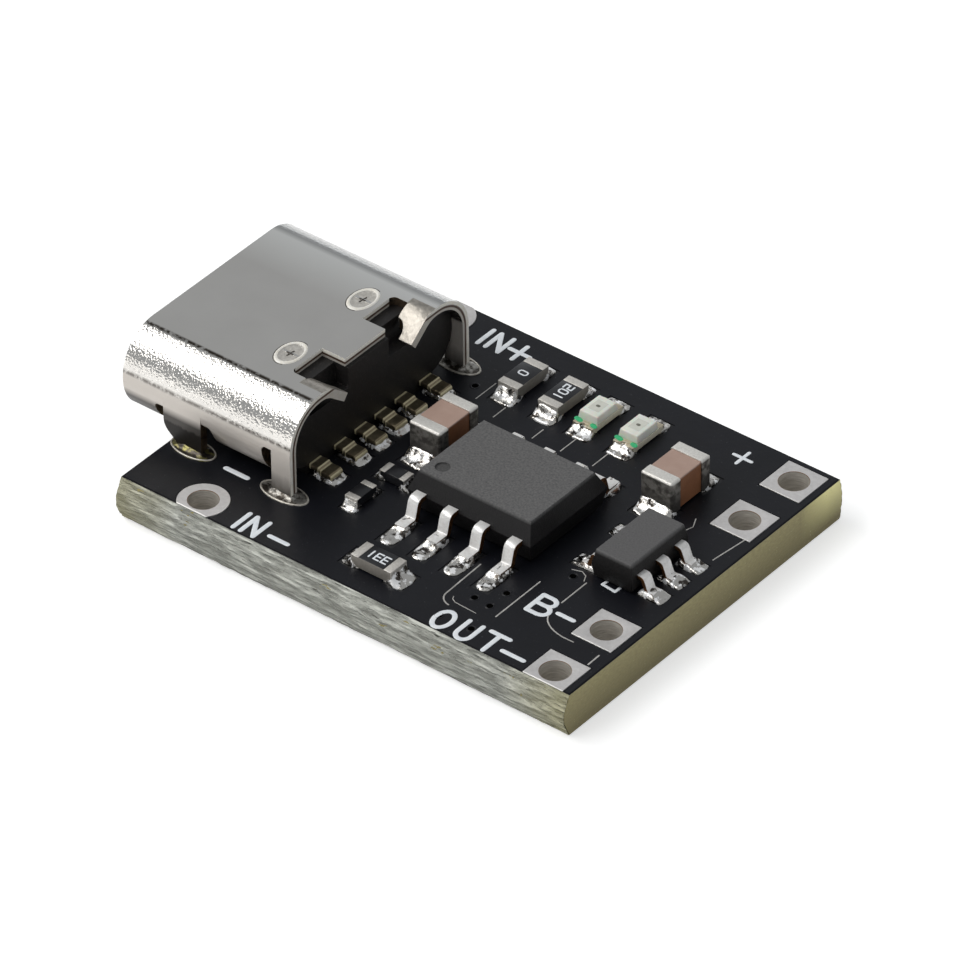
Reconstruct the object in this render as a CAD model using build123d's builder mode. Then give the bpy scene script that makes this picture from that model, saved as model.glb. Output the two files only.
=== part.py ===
from build123d import *
import os

os.makedirs("parts", exist_ok=True)

# Lithium battery charger module, in millimetres.
# The origin is the middle of the board's underside. X runs along the board, from the
# connector's mouth to the terminals. Z is up, square to the board.

# Board
board_length = 17.9
board_width = 14.1
board_thickness = 1.6
front_score_depth = 0.27
back_score_depth = 0.10
score_web = 0.35
mask_thickness = 0.03
mask_setback = 0.04
mask_clearance = 0.04
pad_thickness = 0.05

# Plated terminals
hole_diameter = 1.0
plating = 0.04
output_land = 1.556
input_land = 1.70
terminal_pitch = 2.54
output_inset = 1.05
front_pair_inset = 0.90
back_pair_inset = 1.11
input_inset = 2.85
input_edge_inset = 0.88

# Connector shell, stamped and rolled from sheet
sheet = 0.30
shell_width = 8.94
shell_height = 3.20
shell_length = 6.83
side_flat = 0.10
shell_seat = 5.00
mouth_chamfer = 0.08
seam_gap = 0.05
floor_setback = 1.73
floor_side_gap = 0.10
floor_cut = 0.36
notch_length = 1.50
notch_inset = 0.39
notch_radius = 0.20
tab_width = 2.00
tab_setback = 0.58
ear_length = 0.92
ear_root_inset = 0.09
ear_reach = 0.85
ear_drop = 0.68
ear_bend = 0.90
ear_corner = 0.40
dimple_length = 1.20
dimple_width = 0.75
dimple_depth = 0.08
dimple_ridge = 0.10
dimple_corner = 0.24
dimple_spacing = 3.60
dimple_setback = 2.12

# Connector legs
leg_depth = 1.30
front_leg_setback = 5.18
front_leg_sweep = 0.63
front_leg_bend = 0.56
front_leg_width = 0.90
front_slot_height = 1.24
rear_leg_width = 0.77
slot_width = 0.40
slot_radius = 0.18
leg_clearance = 0.10
leg_end_gap = 0.20
leg_land = 0.15
slot_corner = 0.30

# Connector housing, tongue and contacts
tongue_setback = 1.00
tongue_clearance = 0.825
tongue_thickness = 0.70
block_length = 1.38
housing_setback = 0.45
ear_clearance = 0.08
midplate_thickness = 0.15
midplate_proud = 0.03
midplate_anchor = 0.35
strip_margin = 0.595
strip_steps = 11
strip_width = 0.30
strip_thickness = 0.10
strip_setback = 0.40
riser_thickness = 0.20
top_riser_offset = 0.72
bottom_riser_offset = 0.20
tail_width = 0.58
tail_thickness = 0.18
tail_drop = 0.08
tail_tread = 0.38
tail_inset = 0.17
tail_shares = (0.18, 0.55, 1.00)
tail_land_length = 1.05
tail_land_margin = 0.08

# Charger chip, an eight-lead gull-wing package
charger_length = 4.90
charger_width = 3.90
charger_height = 1.45
charger_inset_x = 0.25
charger_inset_y = 0.36
charger_standoff = 0.08
charger_split = 0.75
charger_pitch = 1.27
charger_span = 6.00
charger_lead_width = 0.41
charger_lead_thickness = 0.20
charger_shoulder = 0.27
charger_land_length = 1.50
charger_land_width = 0.65
charger_toe = 0.80
pin_mark_diameter = 0.50
pin_mark_depth = 0.06
pin_mark_inset = 0.50

# Protection chip, a five-lead gull-wing package
protection_length = 2.90
protection_width = 1.60
protection_height = 1.08
protection_inset = 0.11
protection_standoff = 0.06
protection_split = 0.55
protection_pitch = 0.95
protection_span = 2.80
protection_lead_width = 0.40
protection_lead_thickness = 0.15
protection_shoulder = 0.16
protection_land_length = 0.95
protection_land_width = 0.60
protection_toe = 0.35

# Leads of both chips
lead_anchor = 0.30
lead_slope = 0.18
lead_bend = 0.12

# Chip capacitors, resistors and indicator lamps
capacitor_length = 2.00
capacitor_width = 1.25
capacitor_height = 1.25
large_resistor_length = 1.60
large_resistor_width = 0.80
large_resistor_height = 0.45
small_resistor_length = 1.00
small_resistor_width = 0.50
small_resistor_height = 0.35
lamp_length = 1.60
lamp_width = 0.80
lamp_height = 0.24
capacitor_cap = 0.45
large_resistor_cap = 0.30
small_resistor_cap = 0.22
lamp_cap = 0.24
capacitor_plating = 0.05
chip_plating = 0.03
capacitor_bevel = 0.06
lens_length = 1.10
lens_height = 0.40
lens_taper = 0.05
castellation = 0.14

# Solder lands past the caps, and the fillets on them
capacitor_toe = 0.55
large_resistor_toe = 0.45
small_resistor_toe = 0.25
lamp_toe = 0.42
land_margin = 0.05
fillet_share = 0.55
fillet_hollow = 0.32

# Rows of parts along the board, from the socket to the terminals: the first stands off
# the socket's tails, and the others off each other
first_row_gap = 1.53
setting_row_step = -0.29
second_row_step = 1.62
charger_row_step = 3.60
current_row_step = -1.20
lamp_row_step = 3.02
lamp_pitch = 1.61
battery_row_step = 3.73
protection_row_step = 5.03

# Rows of parts across the board. They share the width that the widest of them leave
# free: the share in front of each, in hundredths
current_row_share = 30
charger_row_share = 24
lamp_row_share = 11
input_capacitor_step = 1.33
battery_capacitor_step = 3.75
protection_step = 0.27
setting_resistor_1_step = -2.47
setting_resistor_2_step = -1.05

# Levels and edges of the board
core_bottom = mask_thickness
core_top = board_thickness - mask_thickness
pad_top = core_top + pad_thickness
mouth_end = -board_length / 2
terminal_end = board_length / 2
front_edge = -board_width / 2
back_edge = board_width / 2
front_rim = front_edge + front_score_depth
back_rim = back_edge - back_score_depth

# Connector places, all taken from its rear, its mouth and the board's middle line
shell_rear = mouth_end + shell_seat
mouth_x = shell_rear - shell_length
shell_top = board_thickness + shell_height
shell_middle = board_thickness + shell_height / 2
inner_width = shell_width - 2 * sheet
inner_height = shell_height - 2 * sheet
shell_radius = (shell_height - side_flat) / 2
inner_radius = shell_radius - sheet
flat_half = shell_width / 2 - shell_radius
floor_end = shell_rear - floor_setback
notch_x = shell_rear - notch_length
ear_x = shell_rear - ear_length
notch_half = flat_half - notch_inset
ear_root = flat_half - ear_root_inset
ear_tip = notch_half - ear_reach
housing_rear = shell_rear - housing_setback
housing_front = housing_rear - block_length
tongue_x = mouth_x + tongue_setback
tongue_width = inner_width - 2 * tongue_clearance
front_leg_x = shell_rear - front_leg_setback
front_foot_x = front_leg_x + front_leg_sweep
rear_leg_x = shell_rear - rear_leg_width

from_start = (Align.MIN, Align.CENTER)
from_below = (Align.CENTER, Align.CENTER, Align.MIN)


def chip_plane(x, y, turn):
    """Plane on the solder lands, with X along the part that stands there."""
    return Plane(origin=(x, y, pad_top)).rotated((0, 0, turn))


def upright_plane(x, y, turn):
    """Upright plane on the lands, with X pointing outwards at a turn and Y up."""
    outward = Vector(1, 0, 0).rotate(Axis.Z, turn)
    return Plane(origin=(x, y, pad_top), x_dir=outward, z_dir=outward.cross(Vector(0, 0, 1)))


def save(builder, name):
    """Labels a finished piece and writes its file."""
    builder.part.label = name
    export_step(builder.part, f"parts/{name}.step")


# Terminals: name, X, Y and the shape of the land
terminal_x = terminal_end - output_inset
input_x = mouth_end + input_inset
front_pair_y = front_edge + front_pair_inset
back_pair_y = back_edge - back_pair_inset
terminals = (
    ("board_terminal_in_minus", input_x, front_edge + input_edge_inset, "round"),
    ("board_terminal_in_plus", input_x, back_edge - input_edge_inset, "round"),
    ("board_terminal_out_minus", terminal_x, front_pair_y, "square"),
    ("board_terminal_battery_minus", terminal_x, front_pair_y + terminal_pitch, "square"),
    ("board_terminal_battery_plus", terminal_x, back_pair_y - terminal_pitch, "square"),
    ("board_terminal_out_plus", terminal_x, back_pair_y, "square"),
)
terminal_points = [(x, y) for _, x, y, _ in terminals]


def terminal_land(shape, margin):
    """Outline of a terminal's land, grown by a margin."""
    if shape == "round":
        Circle(input_land / 2 + margin)
    else:
        Rectangle(output_land + 2 * margin, output_land + 2 * margin)


# Connector legs: middle of each on the board, and its width
leg_y = (shell_width - sheet) / 2
leg_root = (shell_height + side_flat) / 2
leg_rows = (
    (front_foot_x + front_leg_width / 2, front_leg_width),
    (rear_leg_x + rear_leg_width / 2, rear_leg_width),
)


def leg_slots(margin):
    """Slots with cut corners around the four legs, wider than each by a margin all round."""
    for x, width in leg_rows:
        with BuildSketch(Plane.XY, mode=Mode.PRIVATE) as slot:
            Rectangle(width + leg_end_gap + 2 * margin, sheet + 2 * margin)
            chamfer(slot.vertices(), length=slot_corner * (sheet + 2 * margin))
        with Locations((x, -leg_y), (x, leg_y)):
            add(slot.sketch)


# Contact tails, in order from the front edge of the board
tail_outer = flat_half - tail_inset
tail_y = [-share * tail_outer for share in reversed(tail_shares)]
tail_y += [share * tail_outer for share in tail_shares]
floor_half = tail_outer + tail_width / 2 + floor_side_gap
tail_top = pad_top + tail_thickness + 2 * tail_drop
tread_1 = housing_rear + tail_tread
tread_2 = tread_1 + tail_drop + tail_tread
tail_end = tread_2 + tail_drop

# Rows across the board, which share its free width
charger_reach = charger_span / 2 + charger_toe
lamp_reach = lamp_length / 2 + lamp_toe
free_width = back_rim - front_rim - large_resistor_width - 2 * charger_reach - 2 * lamp_reach
current_row_y = front_rim + free_width * current_row_share / 100 + large_resistor_width / 2
charger_y = current_row_y + large_resistor_width / 2 + free_width * charger_row_share / 100 + charger_reach
lamp_row_y = charger_y + charger_reach + free_width * lamp_row_share / 100 + lamp_reach

# Rows along the board
first_row_x = tail_end + first_row_gap
charger_x = first_row_x + charger_row_step
protection_x = charger_x + protection_row_step
protection_y = charger_y + protection_step

# Leads of both chips: place of the row's origin and the way that the lead points
charger_row = [charger_x + (index - 1.5) * charger_pitch for index in range(4)]
charger_leads = [(x, charger_y, -90) for x in charger_row]
charger_leads += [(x, charger_y, 90) for x in reversed(charger_row)]
protection_leads = [
    (protection_x, protection_y + step * protection_pitch, turn)
    for step, turn in ((-1, 0), (0, 0), (1, 0), (1, 180), (-1, 180))
]

# Capped parts of each kind: name, X, Y and turn
capacitor_size = (capacitor_length, capacitor_width, capacitor_height)
large_resistor_size = (large_resistor_length, large_resistor_width, large_resistor_height)
small_resistor_size = (small_resistor_length, small_resistor_width, small_resistor_height)
lamp_size = (lamp_length, lamp_width, lamp_height)
capacitor_places = (
    ("input_capacitor", first_row_x, charger_y + input_capacitor_step, 90),
    ("battery_capacitor", charger_x + battery_row_step, charger_y + battery_capacitor_step, 90),
)
large_resistor_places = (
    ("lamp_resistor_1", first_row_x, lamp_row_y, 90),
    ("lamp_resistor_2", first_row_x + second_row_step, lamp_row_y, 90),
    ("current_resistor", charger_x + current_row_step, current_row_y, 0),
)
small_resistor_places = (
    ("setting_resistor_1", first_row_x + setting_row_step, charger_y + setting_resistor_1_step, 90),
    ("setting_resistor_2", first_row_x, charger_y + setting_resistor_2_step, 0),
)
lamp_places = (
    ("charging_lamp", first_row_x + lamp_row_step, lamp_row_y, 90),
    ("standby_lamp", first_row_x + lamp_row_step + lamp_pitch, lamp_row_y, 90),
)

# All capped parts: X, Y, turn, size, length of the cap and reach of its land
capped_parts = []
for places, size, cap, toe in (
    (capacitor_places, capacitor_size, capacitor_cap, capacitor_toe),
    (large_resistor_places, large_resistor_size, large_resistor_cap, large_resistor_toe),
    (small_resistor_places, small_resistor_size, small_resistor_cap, small_resistor_toe),
    (lamp_places, lamp_size, lamp_cap, lamp_toe),
):
    capped_parts += [(x, y, turn, size, cap, toe) for _, x, y, turn in places]


def ahead(x, y, turn, distance):
    """Point at a distance from another, along a turn."""
    step = Vector(distance, 0, 0).rotate(Axis.Z, turn)
    return x + step.X, y + step.Y


def lead_lands(leads, span, toe, length, width):
    """Lands under a chip's feet: their middles, with the size along X and along Y."""
    reach = span / 2 + toe - length / 2
    points = [ahead(*lead, reach) for lead in leads]
    upright = leads[0][2] % 180
    return (points, width, length) if upright else (points, length, width)


def cap_lands(x, y, turn, size, cap, toe):
    """The two lands of a capped part: their middles, with the size along X and along Y."""
    length = cap + toe
    width = size[1] + 2 * land_margin
    reach = size[0] / 2 + toe - length / 2
    points = [ahead(x, y, turn + end, reach) for end in (0, 180)]
    return (points, width, length) if turn else (points, length, width)


tail_lands = (
    [(housing_rear + tail_land_margin + tail_land_length / 2, y) for y in tail_y],
    tail_land_length,
    tail_width + 2 * tail_land_margin,
)
charger_lands = lead_lands(
    charger_leads, charger_span, charger_toe, charger_land_length, charger_land_width
)
protection_lands = lead_lands(
    protection_leads, protection_span, protection_toe, protection_land_length, protection_land_width
)
chip_lands = [cap_lands(*part) for part in capped_parts]


# Circuit board: glass-epoxy core, scored and snapped along both long sides
with BuildPart() as circuit_board:
    with BuildSketch(Plane.XY.offset(core_bottom)):
        Rectangle(board_length, board_width)
    extrude(amount=core_top - core_bottom)
    upper_web = (board_thickness + score_web) / 2
    lower_web = (board_thickness - score_web) / 2
    with BuildSketch(Plane.YZ.offset(mouth_end)):
        for edge, rim in ((front_edge, front_rim), (back_edge, back_rim)):
            for face, web in ((core_top, upper_web), (core_bottom, lower_web)):
                with BuildLine():
                    Polyline((edge, face), (rim, face), (edge, web), close=True)
                make_face()
    extrude(amount=board_length, mode=Mode.SUBTRACT)
    with BuildSketch(Plane.XY.offset(core_bottom)):
        with Locations(*terminal_points):
            Circle(hole_diameter / 2 + plating)
        leg_slots(leg_clearance)
    extrude(amount=core_top - core_bottom, mode=Mode.SUBTRACT)

save(circuit_board, "circuit_board")

# Openings that both faces of the solder mask share, at the terminals and the legs
with BuildSketch() as hole_openings:
    for _, x, y, shape in terminals:
        with Locations((x, y)):
            terminal_land(shape, mask_clearance)
    leg_slots(leg_clearance + leg_land)

# Solder mask on the component side, open at every land as well
with BuildPart() as solder_mask_top:
    with BuildSketch(Plane.XY.offset(core_top)):
        with Locations((0, (front_rim + back_rim) / 2)):
            Rectangle(board_length - 2 * mask_setback, back_rim - front_rim - 2 * mask_setback)
        add(hole_openings.sketch, mode=Mode.SUBTRACT)
        for points, size_x, size_y in (tail_lands, charger_lands, protection_lands, *chip_lands):
            with Locations(*points):
                Rectangle(size_x + 2 * mask_clearance, size_y + 2 * mask_clearance, mode=Mode.SUBTRACT)
    extrude(amount=mask_thickness)

save(solder_mask_top, "solder_mask_top")

# Solder mask on the underside
with BuildPart() as solder_mask_bottom:
    with BuildSketch(Plane.XY):
        with Locations((0, (front_rim + back_rim) / 2)):
            Rectangle(board_length - 2 * mask_setback, back_rim - front_rim - 2 * mask_setback)
        add(hole_openings.sketch, mode=Mode.SUBTRACT)
    extrude(amount=mask_thickness)

save(solder_mask_bottom, "solder_mask_bottom")

# Plated terminals: a barrel through the board with a land on each face
for name, x, y, shape in terminals:
    with BuildPart() as terminal:
        with BuildSketch(Plane.XY):
            with Locations((x, y)):
                Circle(hole_diameter / 2 + plating)
        extrude(amount=pad_top)
        for level, thickness in ((0, core_bottom), (core_top, pad_thickness)):
            with BuildSketch(Plane.XY.offset(level)):
                with Locations((x, y)):
                    terminal_land(shape, 0)
                with Locations((0, (front_rim + back_rim) / 2)):
                    Rectangle(board_length, back_rim - front_rim, mode=Mode.INTERSECT)
            extrude(amount=thickness)
        with BuildSketch(Plane.XY):
            with Locations((x, y)):
                Circle(hole_diameter / 2)
        extrude(amount=pad_top, mode=Mode.SUBTRACT)
    save(terminal, name)


def across_plane(x):
    """Upright plane across the connector, square to it and centred on its tube."""
    return Plane(origin=(x, 0, shell_middle), x_dir=(0, 1, 0), z_dir=(1, 0, 0))


def side_plane(side):
    """Upright plane on one outer side of the shell, with Y up from the board."""
    return Plane(
        origin=(0, side * shell_width / 2, board_thickness),
        x_dir=(1, 0, 0),
        z_dir=(0, -1, 0),
    )


# Connector shell: one stamped sheet, rolled to a tube with its seam underneath
with BuildPart() as connector_shell:
    with BuildSketch(across_plane(mouth_x)):
        RectangleRounded(shell_width, shell_height, shell_radius)
        RectangleRounded(inner_width, inner_height, inner_radius, mode=Mode.SUBTRACT)
    extrude(amount=shell_length)
    mouth = connector_shell.faces().sort_by(Axis.X)[0]
    chamfer(mouth.inner_wires()[0].edges(), length=mouth_chamfer)

    # Floor: open seam, and cut short where the contact tails come out
    with BuildSketch(Plane.XY.offset(board_thickness)):
        with Locations((mouth_x, 0)):
            Rectangle(floor_end - mouth_x, seam_gap, align=from_start)
        with Locations((floor_end, 0)):
            Rectangle(shell_rear - floor_end, 2 * floor_half, align=from_start)
    extrude(amount=floor_cut, mode=Mode.SUBTRACT)

    # Roof: a notch around the tab that holds the housing, and room for the ears behind it
    with BuildSketch(Plane.XY.offset(shell_top)):
        with Locations((notch_x, 0)):
            Rectangle(notch_length, 2 * notch_half, align=from_start)
        fillet(vertices().group_by(Axis.X)[0], radius=notch_radius)
        with Locations((ear_x, 0)):
            Rectangle(ear_length, 2 * ear_root, align=from_start)
        with Locations((notch_x, 0)):
            Rectangle(notch_length - tab_setback, tab_width, align=from_start, mode=Mode.SUBTRACT)
    extrude(amount=-sheet, mode=Mode.SUBTRACT)

    # Ears: two flaps of the roof bent down over the rear of the housing
    roof_middle = shell_top - sheet / 2
    with BuildSketch(Plane.YZ.offset(ear_x)):
        for side in (-1, 1):
            with BuildLine() as ear_line:
                FilletPolyline(
                    (side * flat_half, roof_middle),
                    (side * notch_half, roof_middle),
                    (side * ear_tip, roof_middle - ear_drop),
                    radius=ear_bend,
                )
            trace(ear_line.line, line_width=sheet)
    extrude(amount=ear_length)
    with BuildSketch(Plane.XY.offset(shell_top)):
        for side in (-1, 1):
            arc_start = (ear_x, side * (ear_tip + ear_corner))
            arc_end = (ear_x + ear_corner, side * ear_tip)
            past_tip = side * (ear_tip - ear_corner)
            with BuildLine():
                RadiusArc(arc_start, arc_end, side * ear_corner)
                Polyline(arc_end, (arc_end[0], past_tip), (ear_x, past_tip), arc_start)
            make_face()
    extrude(amount=-(ear_drop + 2 * sheet), mode=Mode.SUBTRACT)

    # Press marks in the roof, each with a ridge across it
    with BuildSketch(Plane.XY.offset(shell_top)):
        mark_x = shell_rear - dimple_setback
        with Locations((mark_x, -dimple_spacing / 2), (mark_x, dimple_spacing / 2)):
            Rectangle(dimple_width, dimple_length)
        chamfer(vertices(), length=dimple_corner)
        with Locations((mark_x, -dimple_spacing / 2), (mark_x, dimple_spacing / 2)):
            Rectangle(dimple_width, dimple_ridge, mode=Mode.SUBTRACT)
    extrude(amount=-dimple_depth, mode=Mode.SUBTRACT)

    # Sides: cut free around the legs, which run straight down from the walls
    for side in (-1, 1):
        with BuildSketch(side_plane(side)):
            with Locations((front_leg_x - slot_width, 0)):
                RectangleRounded(
                    front_leg_sweep + front_leg_width + 2 * slot_width,
                    2 * front_slot_height,
                    slot_radius,
                    align=from_start,
                )
            with Locations((rear_leg_x - slot_width, 0)):
                RectangleRounded(
                    2 * (rear_leg_width + slot_width),
                    shell_height,
                    slot_radius,
                    align=from_start,
                )
        extrude(amount=side * shell_radius, mode=Mode.SUBTRACT)
        with BuildSketch(side_plane(side)):
            with BuildLine():
                sweep_top = (front_leg_x, front_leg_bend)
                foot_end = front_foot_x + front_leg_width
                leg_side = FilletPolyline(
                    (front_leg_x, leg_root),
                    sweep_top,
                    (front_foot_x, 0),
                    (front_foot_x, -leg_depth),
                    radius=front_leg_bend,
                )
                Polyline(leg_side @ 1, (foot_end, -leg_depth), (foot_end, leg_root), leg_side @ 0)
            make_face()
            with Locations((rear_leg_x, -leg_depth)):
                Rectangle(rear_leg_width, leg_depth + leg_root, align=(Align.MIN, Align.MIN))
        extrude(amount=side * sheet)

save(connector_shell, "connector_shell")

# Connector contacts: place of the strip in steps of the pitch, and the face that it lies on
upper_face = shell_middle + tongue_thickness / 2
lower_face = shell_middle - tongue_thickness / 2
strip_start = tongue_x + strip_setback
contact_pitch = (tongue_width - 2 * strip_margin) / strip_steps
contact_rows = ((0, -1), (3, -1), (4, 1), (7, -1), (8, 1), (strip_steps, 1))
contacts = []
for (steps, face), middle in zip(contact_rows, tail_y):
    strip_y = (steps - strip_steps / 2) * contact_pitch
    surface = upper_face if face > 0 else lower_face
    riser_x = housing_front + (top_riser_offset if face > 0 else bottom_riser_offset)
    riser_foot = tail_top - tail_thickness
    near = min(strip_y - strip_width / 2, middle - tail_width / 2)
    far = max(strip_y + strip_width / 2, middle + tail_width / 2)
    with BuildPart() as contact:
        # Strip, flush with the face of the tongue
        with BuildSketch(Plane.XZ.offset(-strip_y)):
            with Locations((strip_start, surface)):
                Rectangle(
                    riser_x + riser_thickness - strip_start,
                    strip_thickness,
                    align=(Align.MIN, Align.MAX if face > 0 else Align.MIN),
                )
        extrude(amount=strip_width / 2, both=True)
        # Riser, hidden in the housing, which joins the strip to its wider tail
        with BuildSketch(Plane.XZ.offset(-(near + far) / 2)):
            with Locations((riser_x, riser_foot)):
                Rectangle(riser_thickness, surface - riser_foot, align=(Align.MIN, Align.MIN))
        extrude(amount=(far - near) / 2, both=True)
        # Tail, stepped down twice on its way to the land
        with BuildSketch(Plane.XZ.offset(-middle)):
            with BuildLine():
                Polyline(
                    (riser_x, tail_top),
                    (tread_1, tail_top),
                    (tread_1 + tail_drop, tail_top - tail_drop),
                    (tread_2, tail_top - tail_drop),
                    (tail_end, tail_top - 2 * tail_drop),
                    (tail_end, pad_top),
                    (tread_1 + tail_drop, pad_top),
                    (tread_1, tail_top - tail_thickness),
                    (riser_x, tail_top - tail_thickness),
                    close=True,
                )
            make_face()
        extrude(amount=tail_width / 2, both=True)
    contacts.append(contact)
    save(contact, f"connector_contact_{len(contacts)}")

# Connector mid-plate: a flat steel blade moulded into the tongue
with BuildPart() as connector_midplate:
    with BuildSketch(Plane.XY.offset(shell_middle - midplate_thickness / 2)):
        with Locations((tongue_x + midplate_proud, 0)):
            Rectangle(
                housing_front - tongue_x - midplate_proud,
                tongue_width + 2 * midplate_proud,
                align=from_start,
            )
        with Locations((housing_front, 0)):
            Rectangle(midplate_anchor, tongue_width / 2, align=from_start)
    extrude(amount=midplate_thickness)

save(connector_midplate, "connector_midplate")

# Connector housing: black moulded block and tongue around the contacts and the mid-plate
with BuildPart() as connector_housing:
    with BuildSketch(across_plane(housing_front)):
        RectangleRounded(inner_width, inner_height, inner_radius)
    extrude(amount=housing_rear - housing_front)
    with BuildSketch(Plane.XY.offset(board_thickness)):
        with Locations((floor_end, 0)):
            Rectangle(housing_rear - floor_end, 2 * floor_half, align=from_start)
    extrude(amount=floor_cut)
    with BuildSketch(Plane.XY.offset(lower_face)):
        with Locations((tongue_x, 0)):
            Rectangle(housing_front - tongue_x, tongue_width, align=from_start)
        fillet(vertices().group_by(Axis.X)[0], radius=tongue_thickness / 2)
    extrude(amount=tongue_thickness)
    pocket_floor = shell_top - ear_drop - sheet - ear_clearance
    pocket_reach = flat_half - tab_width / 2
    pocket_y = (flat_half + tab_width / 2) / 2
    with BuildSketch(Plane.XY.offset(shell_top)):
        with Locations((ear_x - ear_clearance, -pocket_y), (ear_x - ear_clearance, pocket_y)):
            Rectangle(ear_length, pocket_reach, align=from_start)
    extrude(amount=pocket_floor - shell_top, mode=Mode.SUBTRACT)
    for contact in contacts:
        add(contact.part, mode=Mode.SUBTRACT)
    add(connector_midplate.part, mode=Mode.SUBTRACT)

save(connector_housing, "connector_housing")


def gull_wing(edge, height, shoulder, thickness, span):
    """Side view of a lead: from its anchor in the body, over a shoulder, to its foot."""
    knee = (edge + shoulder, height)
    heel = (edge + shoulder + lead_slope, thickness / 2)
    slope = Vector(heel) - Vector(knee)
    along_slope = slope.normalized() * lead_bend
    with BuildSketch() as profile:
        with BuildLine() as middle_line:
            Polyline(
                (edge - lead_anchor, height),
                (knee[0] - lead_bend, height),
                Vector(knee) + along_slope,
                Vector(heel) - along_slope,
                (heel[0] + lead_bend, thickness / 2),
                (span / 2, thickness / 2),
            )
        trace(middle_line.line, line_width=thickness)
    return profile.sketch


def moulded_body(size, split, standoff, inset):
    """Moulded package of two drafted halves that meet at the parting line."""
    length, width, height = size
    half_inset = (inset[0] / 2, inset[1] / 2)
    with BuildPart() as body:
        for low, low_inset, high, high_inset in (
            (standoff, half_inset, split, (0, 0)),
            (split, (0, 0), height, inset),
        ):
            for level, step in ((low, low_inset), (high, high_inset)):
                with BuildSketch(Plane.XY.offset(level)):
                    Rectangle(length - 2 * step[0], width - 2 * step[1])
            loft()
    return body.part


# Charger chip leads: eight tinned gull wings, four along each long side
charger_lead_parts = []
for x, y, turn in charger_leads:
    with BuildPart() as lead:
        with BuildSketch(upright_plane(x, y, turn)):
            add(
                gull_wing(
                    charger_width / 2,
                    charger_split,
                    charger_shoulder,
                    charger_lead_thickness,
                    charger_span,
                )
            )
        extrude(amount=charger_lead_width / 2, both=True)
    charger_lead_parts.append(lead.part)
    save(lead, f"charger_chip_lead_{len(charger_lead_parts)}")

# Charger chip body, moulded around its leads, with a sunk pin-one mark
with BuildPart() as charger_chip_body:
    with Locations((charger_x, charger_y, pad_top)):
        add(
            moulded_body(
                (charger_length, charger_width, charger_height),
                charger_split,
                charger_standoff,
                (charger_inset_x, charger_inset_y),
            )
        )
    with BuildSketch(Plane.XY.offset(pad_top + charger_height)):
        mark_x = charger_x - charger_length / 2 + charger_inset_x + pin_mark_inset
        mark_y = charger_y - charger_width / 2 + charger_inset_y + pin_mark_inset
        with Locations((mark_x, mark_y)):
            Circle(pin_mark_diameter / 2)
    extrude(amount=-pin_mark_depth, mode=Mode.SUBTRACT)
    add(charger_lead_parts, mode=Mode.SUBTRACT)

save(charger_chip_body, "charger_chip_body")

# Protection chip leads: three towards the terminals and two at the ends of the far side
protection_lead_parts = []
for x, y, turn in protection_leads:
    with BuildPart() as lead:
        with BuildSketch(upright_plane(x, y, turn)):
            add(
                gull_wing(
                    protection_width / 2,
                    protection_split,
                    protection_shoulder,
                    protection_lead_thickness,
                    protection_span,
                )
            )
        extrude(amount=protection_lead_width / 2, both=True)
    protection_lead_parts.append(lead.part)
    save(lead, f"protection_chip_lead_{len(protection_lead_parts)}")

# Protection chip body, moulded around its leads
with BuildPart() as protection_chip_body:
    with Locations((protection_x, protection_y, pad_top)):
        add(
            moulded_body(
                (protection_width, protection_length, protection_height),
                protection_split,
                protection_standoff,
                (protection_inset, protection_inset),
            )
        )
    add(protection_lead_parts, mode=Mode.SUBTRACT)

save(protection_chip_body, "protection_chip_body")

# Ceramic capacitors: a brown block with a bevelled tinned cap around each end
for name, x, y, turn in capacitor_places:
    skin = capacitor_plating
    plane = chip_plane(x, y, turn)
    with BuildPart() as block:
        with Locations(plane.offset(skin)):
            Box(
                capacitor_length - 2 * skin,
                capacitor_width - 2 * skin,
                capacitor_height - 2 * skin,
                align=from_below,
            )
    with BuildPart() as caps:
        with Locations(plane):
            Box(capacitor_length, capacitor_width, capacitor_height, align=from_below)
        chamfer(caps.edges(), length=capacitor_bevel)
        with Locations(plane):
            Box(
                capacitor_length - 2 * capacitor_cap,
                capacitor_width,
                capacitor_height,
                align=from_below,
                mode=Mode.SUBTRACT,
            )
        add(block.part, mode=Mode.SUBTRACT)
    save(block, f"{name}_block")
    save(caps, f"{name}_caps")


def coated_chip(plane, size, cap):
    """Flat ceramic chip, coated up to the height of its caps between them."""
    length, width, height = size
    with Locations(plane.offset(chip_plating)):
        Box(length - 2 * chip_plating, width, height - 2 * chip_plating, align=from_below)
        Box(length - 2 * cap, width, height - chip_plating, align=from_below)


def wrapped_caps(plane, size, cap):
    """Blanks of the caps that wrap both ends of a chip over, under and across."""
    length, width, height = size
    with Locations(plane):
        Box(length, width, height, align=from_below)
        Box(length - 2 * cap, width, height, align=from_below, mode=Mode.SUBTRACT)


# Chip resistors: coated ceramic with a tinned cap wrapped around each end
resistors = [(*row, large_resistor_size, large_resistor_cap) for row in large_resistor_places]
resistors += [(*row, small_resistor_size, small_resistor_cap) for row in small_resistor_places]
for name, x, y, turn, size, cap in resistors:
    plane = chip_plane(x, y, turn)
    with BuildPart() as chip:
        coated_chip(plane, size, cap)
    with BuildPart() as caps:
        wrapped_caps(plane, size, cap)
        add(chip.part, mode=Mode.SUBTRACT)
    save(chip, f"{name}_chip")
    save(caps, f"{name}_caps")


def end_notches(plane, reach):
    """Blanks of the six-sided notches through the middle of a lamp's two ends."""
    with BuildPart() as notches:
        with BuildSketch(plane):
            with Locations((-lamp_length / 2, 0), (lamp_length / 2, 0)):
                RegularPolygon(reach, 6)
        extrude(amount=lamp_height)
    return notches.part


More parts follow.
